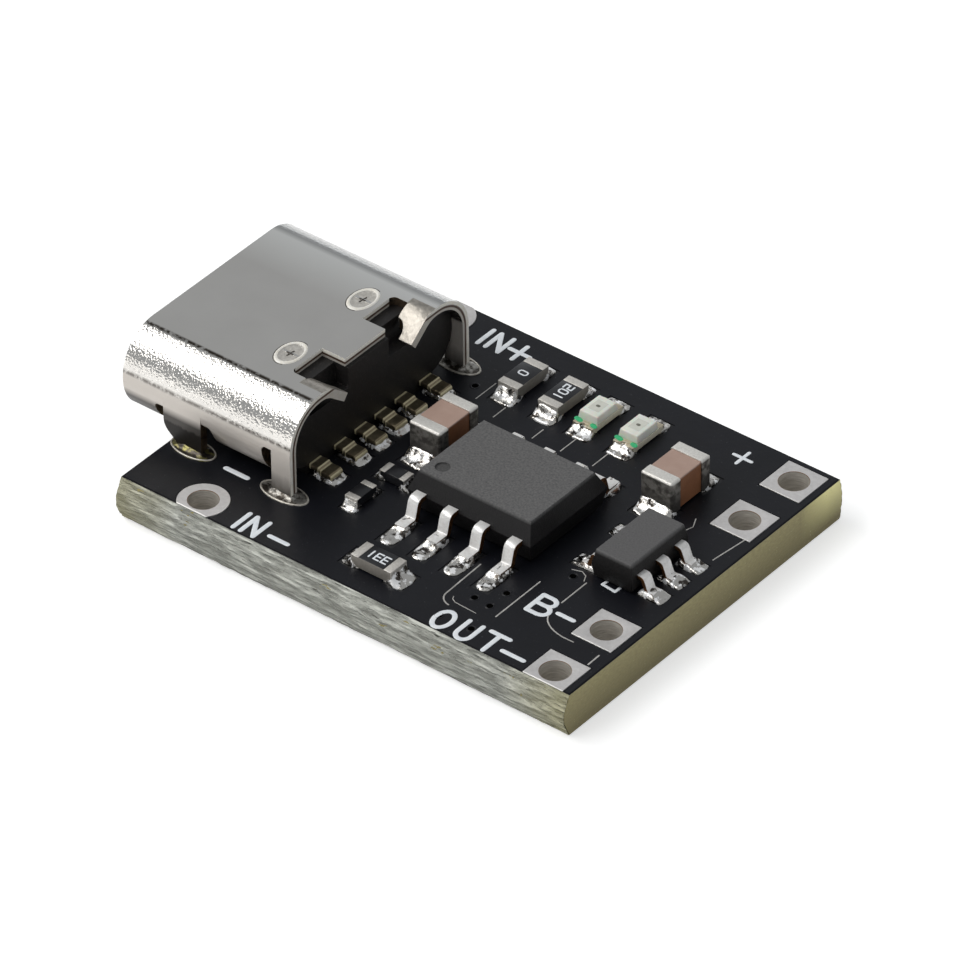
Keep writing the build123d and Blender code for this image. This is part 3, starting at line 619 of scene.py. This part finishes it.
rim = Finish("sheet_rim", Roughness=0.3)
offset = rim.point
shell_middle, roof_half = 3.25, 2.92
for operation, value in (
    ("ABSOLUTE", (0, 0, 0)),
    ("SUBTRACT", (100, roof_half, shell_middle)),
    ("MAXIMUM", (0, 0, 0)),
    ("LENGTH", (0, 0, 0)),
):
    step = rim.tree.nodes.new("ShaderNodeVectorMath")
    step.operation = operation
    rim.link(offset, step.inputs[0])
    step.inputs[1].default_value = value
    offset = step.outputs["Value" if operation == "LENGTH" else "Vector"]
# Painted highlights: bright lines along the outer and inner edges of the sheet's cut end, with the
# brown cut face between.
outer, inner = rim.ramp(offset, 1.4, 1.44), rim.ramp(offset, 1.35, 1.32)
nicked = rim.grain(0.1, 4)
edge_glints = rim.blend(nicked, "efe6cf", "ffffff")
rim.paint(rim.join("ADD", outer, rim.join("MULTIPLY", inner, 0.6)), "4a3020", edge_glints)
rim.relief(nicked, 0.008)

edge_face, dark_face, ear_face, rim_face = range(1, 5)
notch_depth, notch_half, notch_length = 0.36, 2.56, 1.56
ear_length, ear_half, ear_depth = 0.93, 2.88, 1.2
rear_depth, shade_length, shade_top, slanted = 0.12, 1.0, 3.3, 0.12
shell = shape_of("connector_shell")
round_edges(shell, 0.085, 3, 32)
shell_high = corners("connector_shell")[1]
for face in shell.faces:
    spot, normal = face.calc_center_median(), face.normal
    behind, below = shell_high.x - spot.x, shell_high.z - spot.z
    in_notch = below < notch_depth and abs(spot.y) < notch_half and behind < notch_length
    in_ear = behind < ear_length and abs(spot.y) < ear_half and below < ear_depth
    sideways = abs(normal.x) > slanted or (in_notch and not in_ear and abs(normal.y) > slanted)
    inward = normal.y * spot.y + normal.z * (spot.z - shell_middle) < -0.12
    # Faces turned into the tube and cut walls low on the shell take the dark finish as painted shade.
    if sideways:
        wall = abs(normal.x) > 0.95 or abs(normal.z) < 0.1
        at_rear = behind < rear_depth and normal.x > 0.9
        dark = inward or (wall and spot.z < shade_top and not at_rear)
        face.material_index = dark_face if dark else (rim_face if wall else edge_face)
    elif in_ear:
        face.material_index = ear_face
    elif inward and spot.z < shade_top and behind < shade_length:
        face.material_index = dark_face
finishes = [nickel, edge_highlight, cut_wall_and_shade, pressed, rim]
piece("socket_shell", shell, finishes, ["connector_shell"], 50)

press_marks = bmesh.new()
mark_x = shell_high.x - 2.12
dish_rings = (
    (1, -0.002), (0.93, 0.038), (0.86, 0.042), (0.78, 0.012), (0.66, -0.006), (0.45, -0.012),
    (0.2, -0.014),
)
rim_bands = 3
for mark_y in (-1.8, 1.8):
    rows = []
    for share, level in dish_rings:
        ring = arc(mark_x, mark_y, 0.45 * share, 0.66 * share, 0, 350, 35)
        rows.append([press_marks.verts.new((x, y, shell_high.z + level)) for x, y in ring])
    for band, (near, far) in enumerate(zip(rows, rows[1:])):
        for index in range(len(near)):
            beside = (index + 1) % len(near)
            face = press_marks.faces.new((near[index], near[beside], far[beside], far[index]))
            face.material_index = 0 if band < rim_bands else 1
    press_marks.faces.new(rows[-1]).material_index = 1
bmesh.ops.recalc_face_normals(press_marks, faces=press_marks.faces)
for face in press_marks.faces:
    if face.normal.z < -0.5:
        face.normal_flip()
dish = grained("pressed_dish", "8d8982", "ece8e0", (0.12, 4), (0.12, 4, 0.02), 0.4, 0.35)
piece("press_marks", press_marks, [edge_highlight, dish], smooth=60)

mark_lines = bmesh.new()
levels = (shell_high.z - 0.012, shell_high.z + 0.004)
for mark_y in (-1.8, 1.8):
    run(mark_lines, ((mark_x - 0.12, mark_y - 0.02), (mark_x + 0.1, mark_y - 0.02)), 0.07, *levels)
    run(mark_lines, ((mark_x - 0.02, mark_y - 0.16), (mark_x + 0.02, mark_y + 0.14)), 0.05, *levels)
    run(mark_lines, arc(mark_x, mark_y, 0.465, 0.675, 70, 290, 30), 0.035, *levels)
stamped = grained("stamped_line", "2f2b28", "6c665f", (0.1, 3), (0.06, 3, 0.004), 0.4, 0.8)
piece("mark_lines", mark_lines, [stamped])


# Socket housing: black glass-filled moulding inside the shell, which holds the contacts,
# with a steel mid-plate in its tongue.
def rounded(name, node, slot, finishes, width, segments=2, over=40, smooth=50):
    """Finished piece with the shape of a CAD node and rounded edges."""
    shape = shape_of(node)
    round_edges(shape, width, segments, over)
    piece(name, shape, finishes, [node], smooth)


black = Finish("black_moulding", Roughness=0.5)
flecks = black.patch(0.07, 0.64, 0.04)
black.paint(flecks, "120f0e", "3b3532")
black.relief(black.grain(0.06), 0.006)
rounded("socket_housing", "connector_housing", "connector_plastic", [black], 0.03, 2, 50, 35)

blade = Finish("blade_steel", Metallic=1.0, Roughness=0.35)
rolled = blade.grain(0.3, 3, blade.placed((0.3, 5, 5)))
blade.paint(rolled, "9b9b9b", "c4c4c4")
blade.relief(rolled, 0.003)
coat("connector_midplate", blade)


# Socket contacts: gold-plated strips that step down behind the shell to the board, where
# each is soldered to its land.
gold = Finish("contact_gold", Metallic=1.0, Roughness=0.3)
tarnish = gold.grain(0.12, 5)
flat_gold = gold.blend(tarnish, "685e4c", "a4977c")
# Cream bands across each tail at its bends, less metallic, are painted highlights.
bend_highlights = gold.band("X", -4.39, -4.37, -4.32, -4.3)
for start, end in ((-4.05, -3.99), (-3.95, -3.89), (-3.53, -3.47)):
    bend_highlights = gold.join("ADD", bend_highlights, gold.band("X", start, start + 0.01, end - 0.01, end))
gold.paint(bend_highlights, flat_gold, "d6cba6")
gold.vary("Metallic", bend_highlights, 0.95, 0.25)
gold.relief(tarnish, 0.006)
for index in range(1, 7):
    node = f"connector_contact_{index}"
    rounded(f"socket_tail_{index}", node, "contact_metal", [gold], 0.025, 2, 12, 40)


# Charger chip: a dark moulding with drafted sides, a fine matte skin and a sunk mark by its
# first lead. Its eight leads are cropped strip, tin-plated and bent to gull wings.
moulding = Finish("chip_moulding", Roughness=0.62, Specular_IOR_Level=0.3)
skin = moulding.grain(0.05, 4)
# Painted light: the top is painted much lighter than the near-black sides, which are painted shade.
top_face = moulding.along("Z", 2.95, 3.06)
shaded_side_colour = moulding.blend(skin, "0c0b0c", "191718")
lit_top_colour = moulding.blend(moulding.grain(0.07, 4), "3a3a3b", "7e7d7c")
moulding.paint(top_face, shaded_side_colour, lit_top_colour)
moulding.vary("Roughness", top_face, 0.42, 0.66)
moulding.relief(skin, 0.012)
moulding.relief(moulding.grain(0.7, 3), 0.01)
rounded("charger_body", "charger_chip_body", "chip_moulding", [moulding], 0.05, 3, 25, 40)

tin = Finish("lead_tin", Metallic=0.35, Roughness=0.34)
brushed = tin.grain(0.08, 4)
tin.paint(brushed, "dedad4", "ffffff")
tin.vary("Roughness", tin.grain(0.25, 3), 0.28, 0.42)
tin.relief(brushed, 0.005)

cut_copper = grained("cut_copper", "33241c", "a8764c", (0.12, 4), (0.06, 3, 0.008), 0.42, 0.9)


def gull_wing(chip, index, anchor, bend_radius, slope, shoulder, thickness):
    """Lead bent from strip: out of the body, down a slope, and along its land."""
    node = f"{chip}_chip_lead_{index}"
    low, high = corners(node)
    size = high - low
    width, length = sorted((size.x, size.y))
    outward = middle_of(node) - middle_of(f"{chip}_chip_body")
    turn = atan2(0, outward.x) if length == size.x else atan2(outward.y, 0)
    drop = size.z - thickness
    angle = atan2(drop, slope)
    tangent = bend_radius * tan(angle / 2)
    shape = bmesh.new()
    place = Vector((0, 0, size.z - thickness / 2))
    bmesh.ops.create_grid(shape, x_segments=1, y_segments=1, size=0.5)
    bmesh.ops.scale(shape, vec=(thickness, width, 1), verts=shape.verts)
    bmesh.ops.rotate(shape, matrix=Matrix.Rotation(radians(90), 3, "Y"), verts=shape.verts)
    bmesh.ops.translate(shape, vec=place, verts=shape.verts)
    end = list(shape.faces)
    heading = 0.0
    runs = (
        (anchor + shoulder - tangent, angle),
        (hypot(drop, slope) - 2 * tangent, -angle),
        (length - anchor - shoulder - slope - tangent, 0),
    )
    for distance, bend in runs:
        step = Vector((cos(heading), 0, -sin(heading))) * distance
        grown = bmesh.ops.extrude_face_region(shape, geom=end)["geom"]
        if place.x:
            bmesh.ops.delete(shape, geom=end, context="FACES_ONLY")
        moved = [v for v in grown if isinstance(v, bmesh.types.BMVert)]
        bmesh.ops.translate(shape, vec=step, verts=moved)
        place += step
        end = [f for f in grown if isinstance(f, bmesh.types.BMFace)]
        if bend:
            side = 1 if bend > 0 else -1
            centre = place - side * bend_radius * Vector((sin(heading), 0, cos(heading)))
            turned = bmesh.ops.spin(
                shape, geom=end, cent=centre, axis=(0, 1, 0), angle=bend, steps=6,
                use_merge=False, use_duplicate=False,
            )
            bmesh.ops.delete(shape, geom=end, context="FACES_ONLY")
            end = [f for f in turned["geom_last"] if isinstance(f, bmesh.types.BMFace)]
            place = sum((v.co for v in end[0].verts), Vector()) / 4
            heading += bend
    bmesh.ops.recalc_face_normals(shape, faces=shape.faces)
    round_edges(shape, 0.022, 2, 50)
    for face in shape.faces:
        face.material_index = 1 if abs(face.normal.y) > 0.9 else 0
    bmesh.ops.rotate(shape, matrix=Matrix.Rotation(turn, 3, "Z"), verts=shape.verts)
    start = middle_of(node) - Vector((cos(turn), sin(turn), 0)) * length / 2
    bmesh.ops.translate(shape, vec=(start.x, start.y, low.z), verts=shape.verts)
    piece(f"{chip}_lead_{index}", shape, [tin, cut_copper], [node], 40)


for index in range(1, 9):
    gull_wing("charger", index, 0.3, 0.16, 0.18, 0.27, 0.2)


# Protection chip: a smaller moulding of the same kind, with three leads on one side and two
# on the other.
small = Finish("small_chip_moulding", Roughness=0.55, Specular_IOR_Level=0.25)
skin = small.grain(0.06, 4)
# Painted light: the top is painted much lighter than the near-black sides, which are painted shade.
top_face = small.along("Z", 2.55, 2.68)
shaded_side_colour = small.blend(skin, "0b0a0a", "181616")
lit_top_colour = small.blend(skin, "4e4d4d", "6e6d6d")
small.paint(top_face, shaded_side_colour, lit_top_colour)
small.relief(skin, 0.012)
rounded("protection_body", "protection_chip_body", "chip_moulding", [small], 0.045, 3, 25, 40)
for index in range(1, 6):
    gull_wing("protection", index, 0.3, 0.12, 0.18, 0.16, 0.15)


# Ceramic capacitors: a brown fired block between two caps of plated tin, whose grainy
# surface is rounded over at every edge.
ceramic = Finish("brown_ceramic", Roughness=0.42)
pores = ceramic.grain(0.05, 4)
cloud = ceramic.grain(0.5, 4)
# Painted light: the top of the block is painted paler than its shaded brown sides.
shaded_fired_side = ceramic.blend(cloud, "754a31", "9c6a49")
lit_fired_top = ceramic.blend(cloud, "a5887a", "bda294")
ceramic.paint(ceramic.along("Z", 2.74, 2.8), shaded_fired_side, lit_fired_top)
ceramic.vary("Roughness", pores, 0.34, 0.52)
ceramic.relief(pores, 0.008)

cap_tin = Finish("cap_tin", Metallic=0.6, Roughness=0.42)
granules = cap_tin.grain(0.06, 5)
cap_tin.paint(granules, "bdb8b0", "f3efe8")
cap_tin.vary("Roughness", granules, 0.34, 0.55)
cap_tin.relief(granules, 0.018)

tall_tin = Finish("tall_cap_tin", Metallic=0.55, Roughness=0.42)
granules = tall_tin.grain(0.06, 5)
blotch = tall_tin.patch(0.22, 0.42, 0.2)
# Painted light: the caps are white on top, grey on the sides and darker towards the board, where
# shade falls.
shaded_end_grey = tall_tin.blend(granules, "77746f", "aba7a1")
shaded_end_grey = tall_tin.blend(blotch, "55524e", shaded_end_grey)
shaded_end_grey = tall_tin.blend(tall_tin.along("Z", 1.9, 2.4), "5a5753", shaded_end_grey)
lit_top_white = tall_tin.blend(granules, "cfcbc3", "fffdf8")
tall_tin.paint(tall_tin.along("Z", 2.76, 2.85), shaded_end_grey, lit_top_white)
tall_tin.vary("Roughness", granules, 0.34, 0.55)
tall_tin.relief(granules, 0.018)

block = ("capacitor_ceramic", [ceramic])
for name in ("input_capacitor", "battery_capacitor"):
    rounded(f"{name}_ceramic", f"{name}_block", *block, 0.03, 2, 30, 35)
    rounded(f"{name}_tin", f"{name}_caps", "cap_metal", [tall_tin], 0.07, 3, 30)


# Chip resistors: pale ceramic with a black glaze on top and tinned caps at both ends. The
# larger ones carry a plain number in white.
glaze = Finish("black_glaze", Roughness=0.35)
glaze.paint(glaze.grain(0.3, 4), "121214", "25262a")
glaze.vary("Roughness", glaze.grain(0.2), 0.28, 0.42)
glaze.relief(glaze.grain(0.12, 3), 0.006)

alumina = grained("pale_alumina", "6f6b64", "908b83", (0.15, 4), (0.05, 3, 0.006), 0.6)

digit_paths = {
    "0": ([
        (0.2, 0), (0.05, 0.08), (0, 0.25), (0, 0.75), (0.05, 0.92), (0.2, 1), (0.4, 1),
        (0.55, 0.92), (0.6, 0.75), (0.6, 0.25), (0.55, 0.08), (0.4, 0), (0.2, 0),
    ],),
    "1": ([(0.3, 0), (0.3, 1)],),
    "2": ([(0, 1), (0.6, 1), (0.6, 0.5), (0, 0.5), (0, 0), (0.6, 0)],),
    "3": ([(0, 1), (0.6, 1), (0.6, 0), (0, 0)], [(0.1, 0.5), (0.6, 0.5)]),
}


def number(shape, text, x, y, height, turn, level):
    """Plain number in thin strokes, centred at a place and turned."""
    pitch = height * 0.88
    start = -pitch * (len(text) - 1) / 2
    for index, digit in enumerate(text):
        for path in digit_paths[digit]:
            points = []
            for u, v in path:
                spot = Vector((start + index * pitch + (u - 0.3) * height, (v - 0.5) * height))
                points.append(Vector((x, y)) + Matrix.Rotation(turn, 2) @ spot)
            run(shape, points, height * 0.2, level - 0.004, level + 0.006)


large_numbers = {"lamp_resistor_1": "0", "lamp_resistor_2": "102", "current_resistor": "331"}
numbers = bmesh.new()
for name in (*large_numbers, "setting_resistor_1", "setting_resistor_2"):
    shape = shape_of(f"{name}_chip")
    round_edges(shape, 0.02)
    for face in shape.faces:
        face.material_index = 0 if face.normal.z > 0.5 or "setting" in name else 1
    piece(f"{name}_glaze", shape, [glaze, alumina], [f"{name}_chip"])
    rounded(f"{name}_tin", f"{name}_caps", "cap_metal", [cap_tin], 0.03)
    if name in large_numbers:
        low, high = corners(f"{name}_chip")
        turn = radians(90) if high.y - low.y > high.x - low.x else 0
        if name == "current_resistor":
            turn = radians(180)
        middle = (low + high) / 2
        number(numbers, large_numbers[name], middle.x, middle.y, 0.32, turn, high.z)
piece("resistor_numbers", numbers, [ink])


# Indicator lamps: a pale laminate base with gold-plated end contacts, and a moulded milky
# lens with a window over the die. Two green marks are printed on the base beside it.
laminate = grained("lamp_laminate", "cfc9ae", "ebe7d6", (0.12, 3), (0.05, 3, 0.004), 0.6)
milky = Finish("lens_resin", Roughness=0.22, Subsurface_Weight=0.25, Subsurface_Scale=0.0003)
clouds = milky.grain(0.3, 3)
milky.paint(clouds, "e2e3d6", "f7f7ee")
milky.vary("Roughness", clouds, 0.16, 0.3)
milky.relief(milky.grain(0.1), 0.003)
green_mark = grained("green_mark", "1fa866", "4fd394", (0.1, 3), (0.1, 3, 0.003), 0.4)
die_dark = grained("lamp_die", "4a4a40", "8a8a7c", (0.05, 3), (0.05, 3, 0.002), 0.4)
lamp_gold = grained("lamp_gold", "b8a888", "e9e2cf", (0.08, 4), (0.06, 4, 0.01), 0.32, 0.9)
window = grained("lens_window", "cbccc0", "e6e6dc", (0.2, 3), (0.1, 3, 0.003), 0.25)
lens_share = 0.72
for name in ("charging_lamp", "standby_lamp"):
    rounded(f"{name}_laminate", f"{name}_base", "lamp_base", [laminate], 0.012, smooth=35)
    rounded(f"{name}_gold", f"{name}_contacts", "lamp_contact", [lamp_gold], 0.012)
    shape = shape_of(f"{name}_lens")
    low, high = corners(f"{name}_lens")
    for vert in shape.verts:
        vert.co.z = low.z + (vert.co.z - low.z) * lens_share
    high.z = low.z + (high.z - low.z) * lens_share
    round_edges(shape, 0.04, 3, 25)
    piece(f"{name}_cover", shape, [milky], [f"{name}_lens"])
    middle = (low + high) / 2
    die = bmesh.new()
    run(die, ((middle.x - 0.02, middle.y), (middle.x + 0.02, middle.y)), 0.12, high.z, high.z + 0.01)
    piece(f"{name}_die", die, [die_dark])
    pane = bmesh.new()
    bmesh.ops.create_cube(pane, size=1)
    bmesh.ops.scale(pane, vec=(0.42, 0.55, 0.006), verts=pane.verts)
    bmesh.ops.translate(pane, vec=(middle.x, middle.y, high.z), verts=pane.verts)
    piece(f"{name}_window", pane, [window])
    marks = bmesh.new()
    for side, reach in ((-1, 0.16), (1, 0.1)):
        x = middle.x + side * 0.3
        start, end = (x - reach / 2, low.y - 0.05), (x + reach / 2, low.y - 0.09)
        run(marks, (start, end), 0.19, low.z - 0.004, low.z + 0.012)
    piece(f"{name}_mark", marks, [green_mark])


# Solder: bright pools on the lands, wetted up each cap, foot, tail and leg, and drawn in to
# hollow fillets as they set. Those of the socket's legs are duller, with a wetted rim.
# Four patches of resist end the charger's rear lands where their solder ends.
solder = Finish("bright_solder", Metallic=1.0, Roughness=0.2)
ripple = solder.grain(0.22, 4)
# Painted reflections: dark patches stand for dark things mirrored in the solder, and white, less
# metallic patches are painted glints.
dark = solder.patch(0.3, 0.55, 0.05)
painted_glints = solder.patch(0.24, 0.53, 0.05)
silver = solder.blend(dark, "cfccc7", "4c4742")
solder.paint(painted_glints, silver, "ffffff")
solder.vary("Metallic", painted_glints, 1.0, 0.35)
solder.vary("Roughness", solder.grain(0.1, 4), 0.14, 0.32)
solder.relief(ripple, 0.03)
solder.relief(solder.grain(0.05, 3), 0.005)

land_base = core_top + 0.002


def pool(shape, land, foot, rise, reach, level=0.045, corner=0.5, steps=16):
    """One pool on a land, drawn up around a foot. Both are low and high corners."""
    grid = bmesh.ops.create_grid(shape, x_segments=steps, y_segments=steps, size=1)["verts"]
    x0, y0, x1, y1 = land
    for vert in grid:
        u, v = vert.co.x, vert.co.y
        rim = max(abs(u), abs(v))
        x = (x0 + x1) / 2 + u * sqrt(1 - corner * v * v / 2) * (x1 - x0) / 2
        y = (y0 + y1) / 2 + v * sqrt(1 - corner * u * u / 2) * (y1 - y0) / 2
        gap_x = max(foot[0] - x, 0, x - foot[2])
        gap_y = max(foot[1] - y, 0, y - foot[3])
        climb = max(0.0, 1 - hypot(gap_x, gap_y) / reach)
        ripple_height = 0.018 * noise.noise(Vector((x * 5, y * 5, 7)))
        height = level + rise * climb ** 2.2 + ripple_height * (1 + 3 * climb)
        height *= sqrt(max(0.0, 1 - rim ** 9))
        vert.co = Vector((x, y, land_base + 0.03 + max(0.0, height)))
    rim_edges = {edge for vert in grid for edge in vert.link_edges if edge.is_boundary}
    bottom, loop = grown_loop(shape, list(rim_edges))
    for vert in bottom:
        vert.co.z = land_base
    bmesh.ops.contextual_create(shape, geom=loop)


def pooled(name, shape, nodes, finish=solder):
    """Piece of solder from a set of pools."""
    bmesh.ops.recalc_face_normals(shape, faces=shape.faces)
    piece(name, shape, [finish], nodes, 60)


def patch(axis, start, end, low, high):
    """Rectangle that spans from one place to another on an axis, and across it."""
    start, end = sorted((start, end))
    return (low, start, high, end) if axis else (start, low, end, high)


foot_inset = 0.03


def ends_of(low, high, cap, toe, margin):
    """The land and the soldered end at both ends of a capped part."""
    along = 1 if high.y - low.y > high.x - low.x else 0
    across = 1 - along
    found = []
    for side, face in ((-1, low[along]), (1, high[along])):
        start = face - side * cap
        land = patch(along, start, face + side * toe, low[across] - margin, high[across] + margin)
        foot = patch(along, start, face, low[across] + foot_inset, high[across] - foot_inset)
        found.append((land, foot))
    return found


capped = (
    (("input_capacitor_caps", "battery_capacitor_caps"), 0.45, 0.55, 0.3),
    (("lamp_resistor_1_caps", "lamp_resistor_2_caps", "current_resistor_caps"), 0.3, 0.45, 0.3),
    (("setting_resistor_1_caps", "setting_resistor_2_caps"), 0.22, 0.25, 0.22),
    (("charging_lamp_contacts", "standby_lamp_contacts"), 0.24, 0.42, 0.16),
)
chip_pools = bmesh.new()
for names, cap, toe, rise in capped:
    for node in names:
        for land, foot in ends_of(*corners(node), cap, toe, 0.05):
            pool(chip_pools, land, foot, rise, toe * 0.85)
pooled("chip_pools", chip_pools, ["chip_solder"])

covers = bmesh.new()
cover_half_x, cover_half_y, cover_offset = 0.42, 0.45, 0.56
for index in range(5, 9):
    low, high = corners(f"charger_chip_lead_{index}")
    for vert in bmesh.ops.create_grid(covers, x_segments=1, y_segments=1, size=1)["verts"]:
        x = (low.x + high.x) / 2 + vert.co.x * cover_half_x
        y = high.y + cover_offset + vert.co.y * cover_half_y
        vert.co = Vector((x, y, mask_top + 0.001))
piece("resist_covers", covers, [resist])


def lead_pools(chip, leads, foot_length, toe, land_length, land_width, rise, corner):
    """Pools of a chip's leads. The toe is the reach past the tips, in front and behind."""
    shape = bmesh.new()
    for index in range(1, leads + 1):
        node = f"{chip}_chip_lead_{index}"
        low, high = corners(node)
        outward = middle_of(node) - middle_of(f"{chip}_chip_body")
        reach = toe[0] if outward.y < 0 else toe[1]
        along = 0 if high.x - low.x > high.y - low.y else 1
        across = 1 - along
        side = 1 if outward[along] > 0 else -1
        tip = high[along] if side > 0 else low[along]
        middle, half = (low[across] + high[across]) / 2, land_width / 2
        heel = tip + side * (toe[0] - land_length)
        land = patch(along, tip + side * reach, heel, middle - half, middle + half)
        foot = patch(along, tip, tip - side * foot_length, low[across], high[across])
        pool(shape, land, foot, rise, 0.34, level=0.05, corner=corner)
    pooled(f"{chip}_pools", shape, [f"{chip}_chip_solder"])


lead_pools("charger", 8, 0.62, (0.8, 0.1), 1.5, 0.65, 0.14, 0.7)
lead_pools("protection", 5, 0.45, (0.38, 0.38), 0.98, 0.62, 0.11, 0.3)

tail_pools = bmesh.new()
strip_low, strip_high = corners("contact_solder")
tail_half, tail_land_half = 0.29, 0.37
for index, y in enumerate((-2.75, -1.5125, -0.495, 0.495, 1.5125, 2.75), 1):
    rear = corners(f"connector_contact_{index}")[1].x
    land = (strip_low.x, y - tail_land_half, strip_high.x, y + tail_land_half)
    foot = (strip_low.x, y - tail_half, rear, y + tail_half)
    pool(tail_pools, land, foot, 0.1, 0.16, level=0.03)
pooled("tail_pools", tail_pools, ["contact_solder"])

dull = Finish("leg_solder", Metallic=0.85, Roughness=0.3)
frosted = dull.grain(0.12, 5)
blotted = dull.patch(0.25, 0.45, 0.12)
grey = dull.blend(frosted, "6a6761", "d5d2cb")
olive = dull.blend(frosted, "4d4a28", "b3ab72")
tinted = dull.blend(dull.along("X", -6.5, -6.0), olive, grey)
dull.paint(blotted, tinted, "4b4640")
dull.vary("Roughness", frosted, 0.22, 0.42)
dull.relief(dull.grain(0.25, 4), 0.03)
dull.relief(frosted, 0.01)
leg_line, leg_land_half, leg_foot_half, underside = 4.32, 0.47, 0.15, 0.012
leg_pools = bmesh.new()
leg_rims = bmesh.new()
for x, leg_half, land_long in ((-8.05, 0.45, 0.88), (-4.335, 0.385, 0.93)):
    for y in (-leg_line, leg_line):
        land = (x - land_long, y - leg_land_half, x + land_long, y + leg_land_half)
        foot = (x - leg_half, y - leg_foot_half, x + leg_half, y + leg_foot_half)
        pool(leg_pools, land, foot, 0.1, 0.2, level=0.03, corner=1, steps=24)
        rim = arc(x, y, land_long - 0.04, leg_land_half - 0.04, 0, 360, 40)
        run(leg_rims, rim, 0.07, land_base, land_base + 0.07)
        below = bmesh.ops.create_circle(leg_pools, cap_ends=True, segments=36, radius=1)["verts"]
        for vert in below:
            vert.co = Vector((x + vert.co.x * land_long, y + vert.co.y * leg_land_half, underside))
wetted = grained("wetted_rim", "8f897d", "f2ede3", (0.2, 4), (0.1, 4, 0.01), 0.35, 0.6)
pooled("leg_rims", leg_rims, [], wetted)
pooled("leg_pools", leg_pools, ["connector_leg_solder"], dull)


# Studio: a pale floor that the camera and the metal see as white, and that is clear from
# below, under an even surround. A soft key light comes from the upper left, with a low
# strip in front and a dim one behind.
paper = Finish("studio_paper", Base_Color=(0.8, 0.8, 0.8, 1), Roughness=0.9, Specular_IOR_Level=0)
floor_shape = bmesh.new()
bmesh.ops.create_grid(floor_shape, x_segments=1, y_segments=1, size=4000)
bmesh.ops.translate(floor_shape, vec=(0, 0, -0.02), verts=floor_shape.verts)
floor = shown("studio_floor", floor_shape)
floor.data.materials.append(paper.material)

nodes, links, shader = paper.tree.nodes, paper.tree.links, paper.shader
ray = nodes.new("ShaderNodeLightPath")
seen = paper.join("ADD", ray.outputs["Is Camera Ray"], ray.outputs["Is Glossy Ray"])
shader.inputs["Emission Color"].default_value = (1, 1, 1, 1)
links.new(paper.join("MULTIPLY", seen, 0.52), shader.inputs["Emission Strength"])
facing = nodes.new("ShaderNodeNewGeometry")
clear = nodes.new("ShaderNodeBsdfTransparent")
one_sided = nodes.new("ShaderNodeMixShader")
links.new(facing.outputs["Backfacing"], one_sided.inputs["Fac"])
links.new(shader.outputs[0], one_sided.inputs[1])
links.new(clear.outputs[0], one_sided.inputs[2])
links.new(one_sided.outputs[0], nodes["Material Output"].inputs["Surface"])

world = scene.world or bpy.data.worlds.new("studio")
scene.world = world
world.use_nodes = True
nodes, links = world.node_tree.nodes, world.node_tree.links
nodes.clear()
surround = nodes.new("ShaderNodeBackground")
surround.inputs["Color"].default_value = (0.94, 0.97, 1.0, 1)
surround.inputs["Strength"].default_value = 0.42
backdrop = nodes.new("ShaderNodeBackground")
ray = nodes.new("ShaderNodeLightPath")
mix = nodes.new("ShaderNodeMixShader")
output = nodes.new("ShaderNodeOutputWorld")
links.new(ray.outputs["Is Camera Ray"], mix.inputs["Fac"])
links.new(surround.outputs[0], mix.inputs[1])
links.new(backdrop.outputs[0], mix.inputs[2])
links.new(mix.outputs[0], output.inputs["Surface"])


def softbox(name, direction, distance, size, radiance, tint):
    """Square soft light that faces the object from one direction."""
    light = bpy.data.lights.new(name, "AREA")
    light.shape = "RECTANGLE"
    light.size, light.size_y = size
    light.energy = radiance * pi * size[0] * size[1]
    light.color = tint
    towards = Vector(direction).normalized()
    turn = towards.to_track_quat("Z", "Y").to_matrix().to_4x4()
    in_scene(name, light).matrix_world = Matrix.Translation(towards * distance) @ turn


softbox("key_light", (-0.5, -0.36, 0.79), 0.3, (0.32, 0.13), 3.9, (1.0, 0.985, 0.965))
softbox("low_strip", (-0.5, -0.86, 0.055), 0.4, (0.6, 0.035), 1.5, (1.0, 0.98, 0.95))
softbox("back_strip", (-0.35, 0.92, 0.16), 0.4, (0.45, 0.1), 0.6, (0.95, 0.97, 1.0))


# Camera: the photograph's own viewpoint, found from the board's corners.
azimuth, elevation, tilt = radians(38.987), radians(37.337), radians(-0.654)
distance, focal_pixels, picture_pixels, sensor_width = 0.29766, 9489.0, 960, 36
back = Vector((sin(azimuth) * cos(elevation), -cos(azimuth) * cos(elevation), sin(elevation)))
right = Vector((cos(azimuth), sin(azimuth), 0))
up = back.cross(right)
level_right = right * cos(tilt) + up * sin(tilt)
level_up = up * cos(tilt) - right * sin(tilt)
eye = Vector((0, 0, 0.0016)) + back * distance + level_right * 0.000041 - level_up * 0.000044
lens = bpy.data.cameras.new("photo_view")
lens.sensor_width = sensor_width
lens.lens = focal_pixels / picture_pixels * sensor_width
lens.clip_start = 0.01
lens.clip_end = 20
camera = in_scene("photo_view", lens)
turn = Matrix((level_right, level_up, back)).transposed().to_4x4()
camera.matrix_world = Matrix.Translation(eye) @ turn
scene.camera = camera
scene.view_settings.view_transform = "Standard"
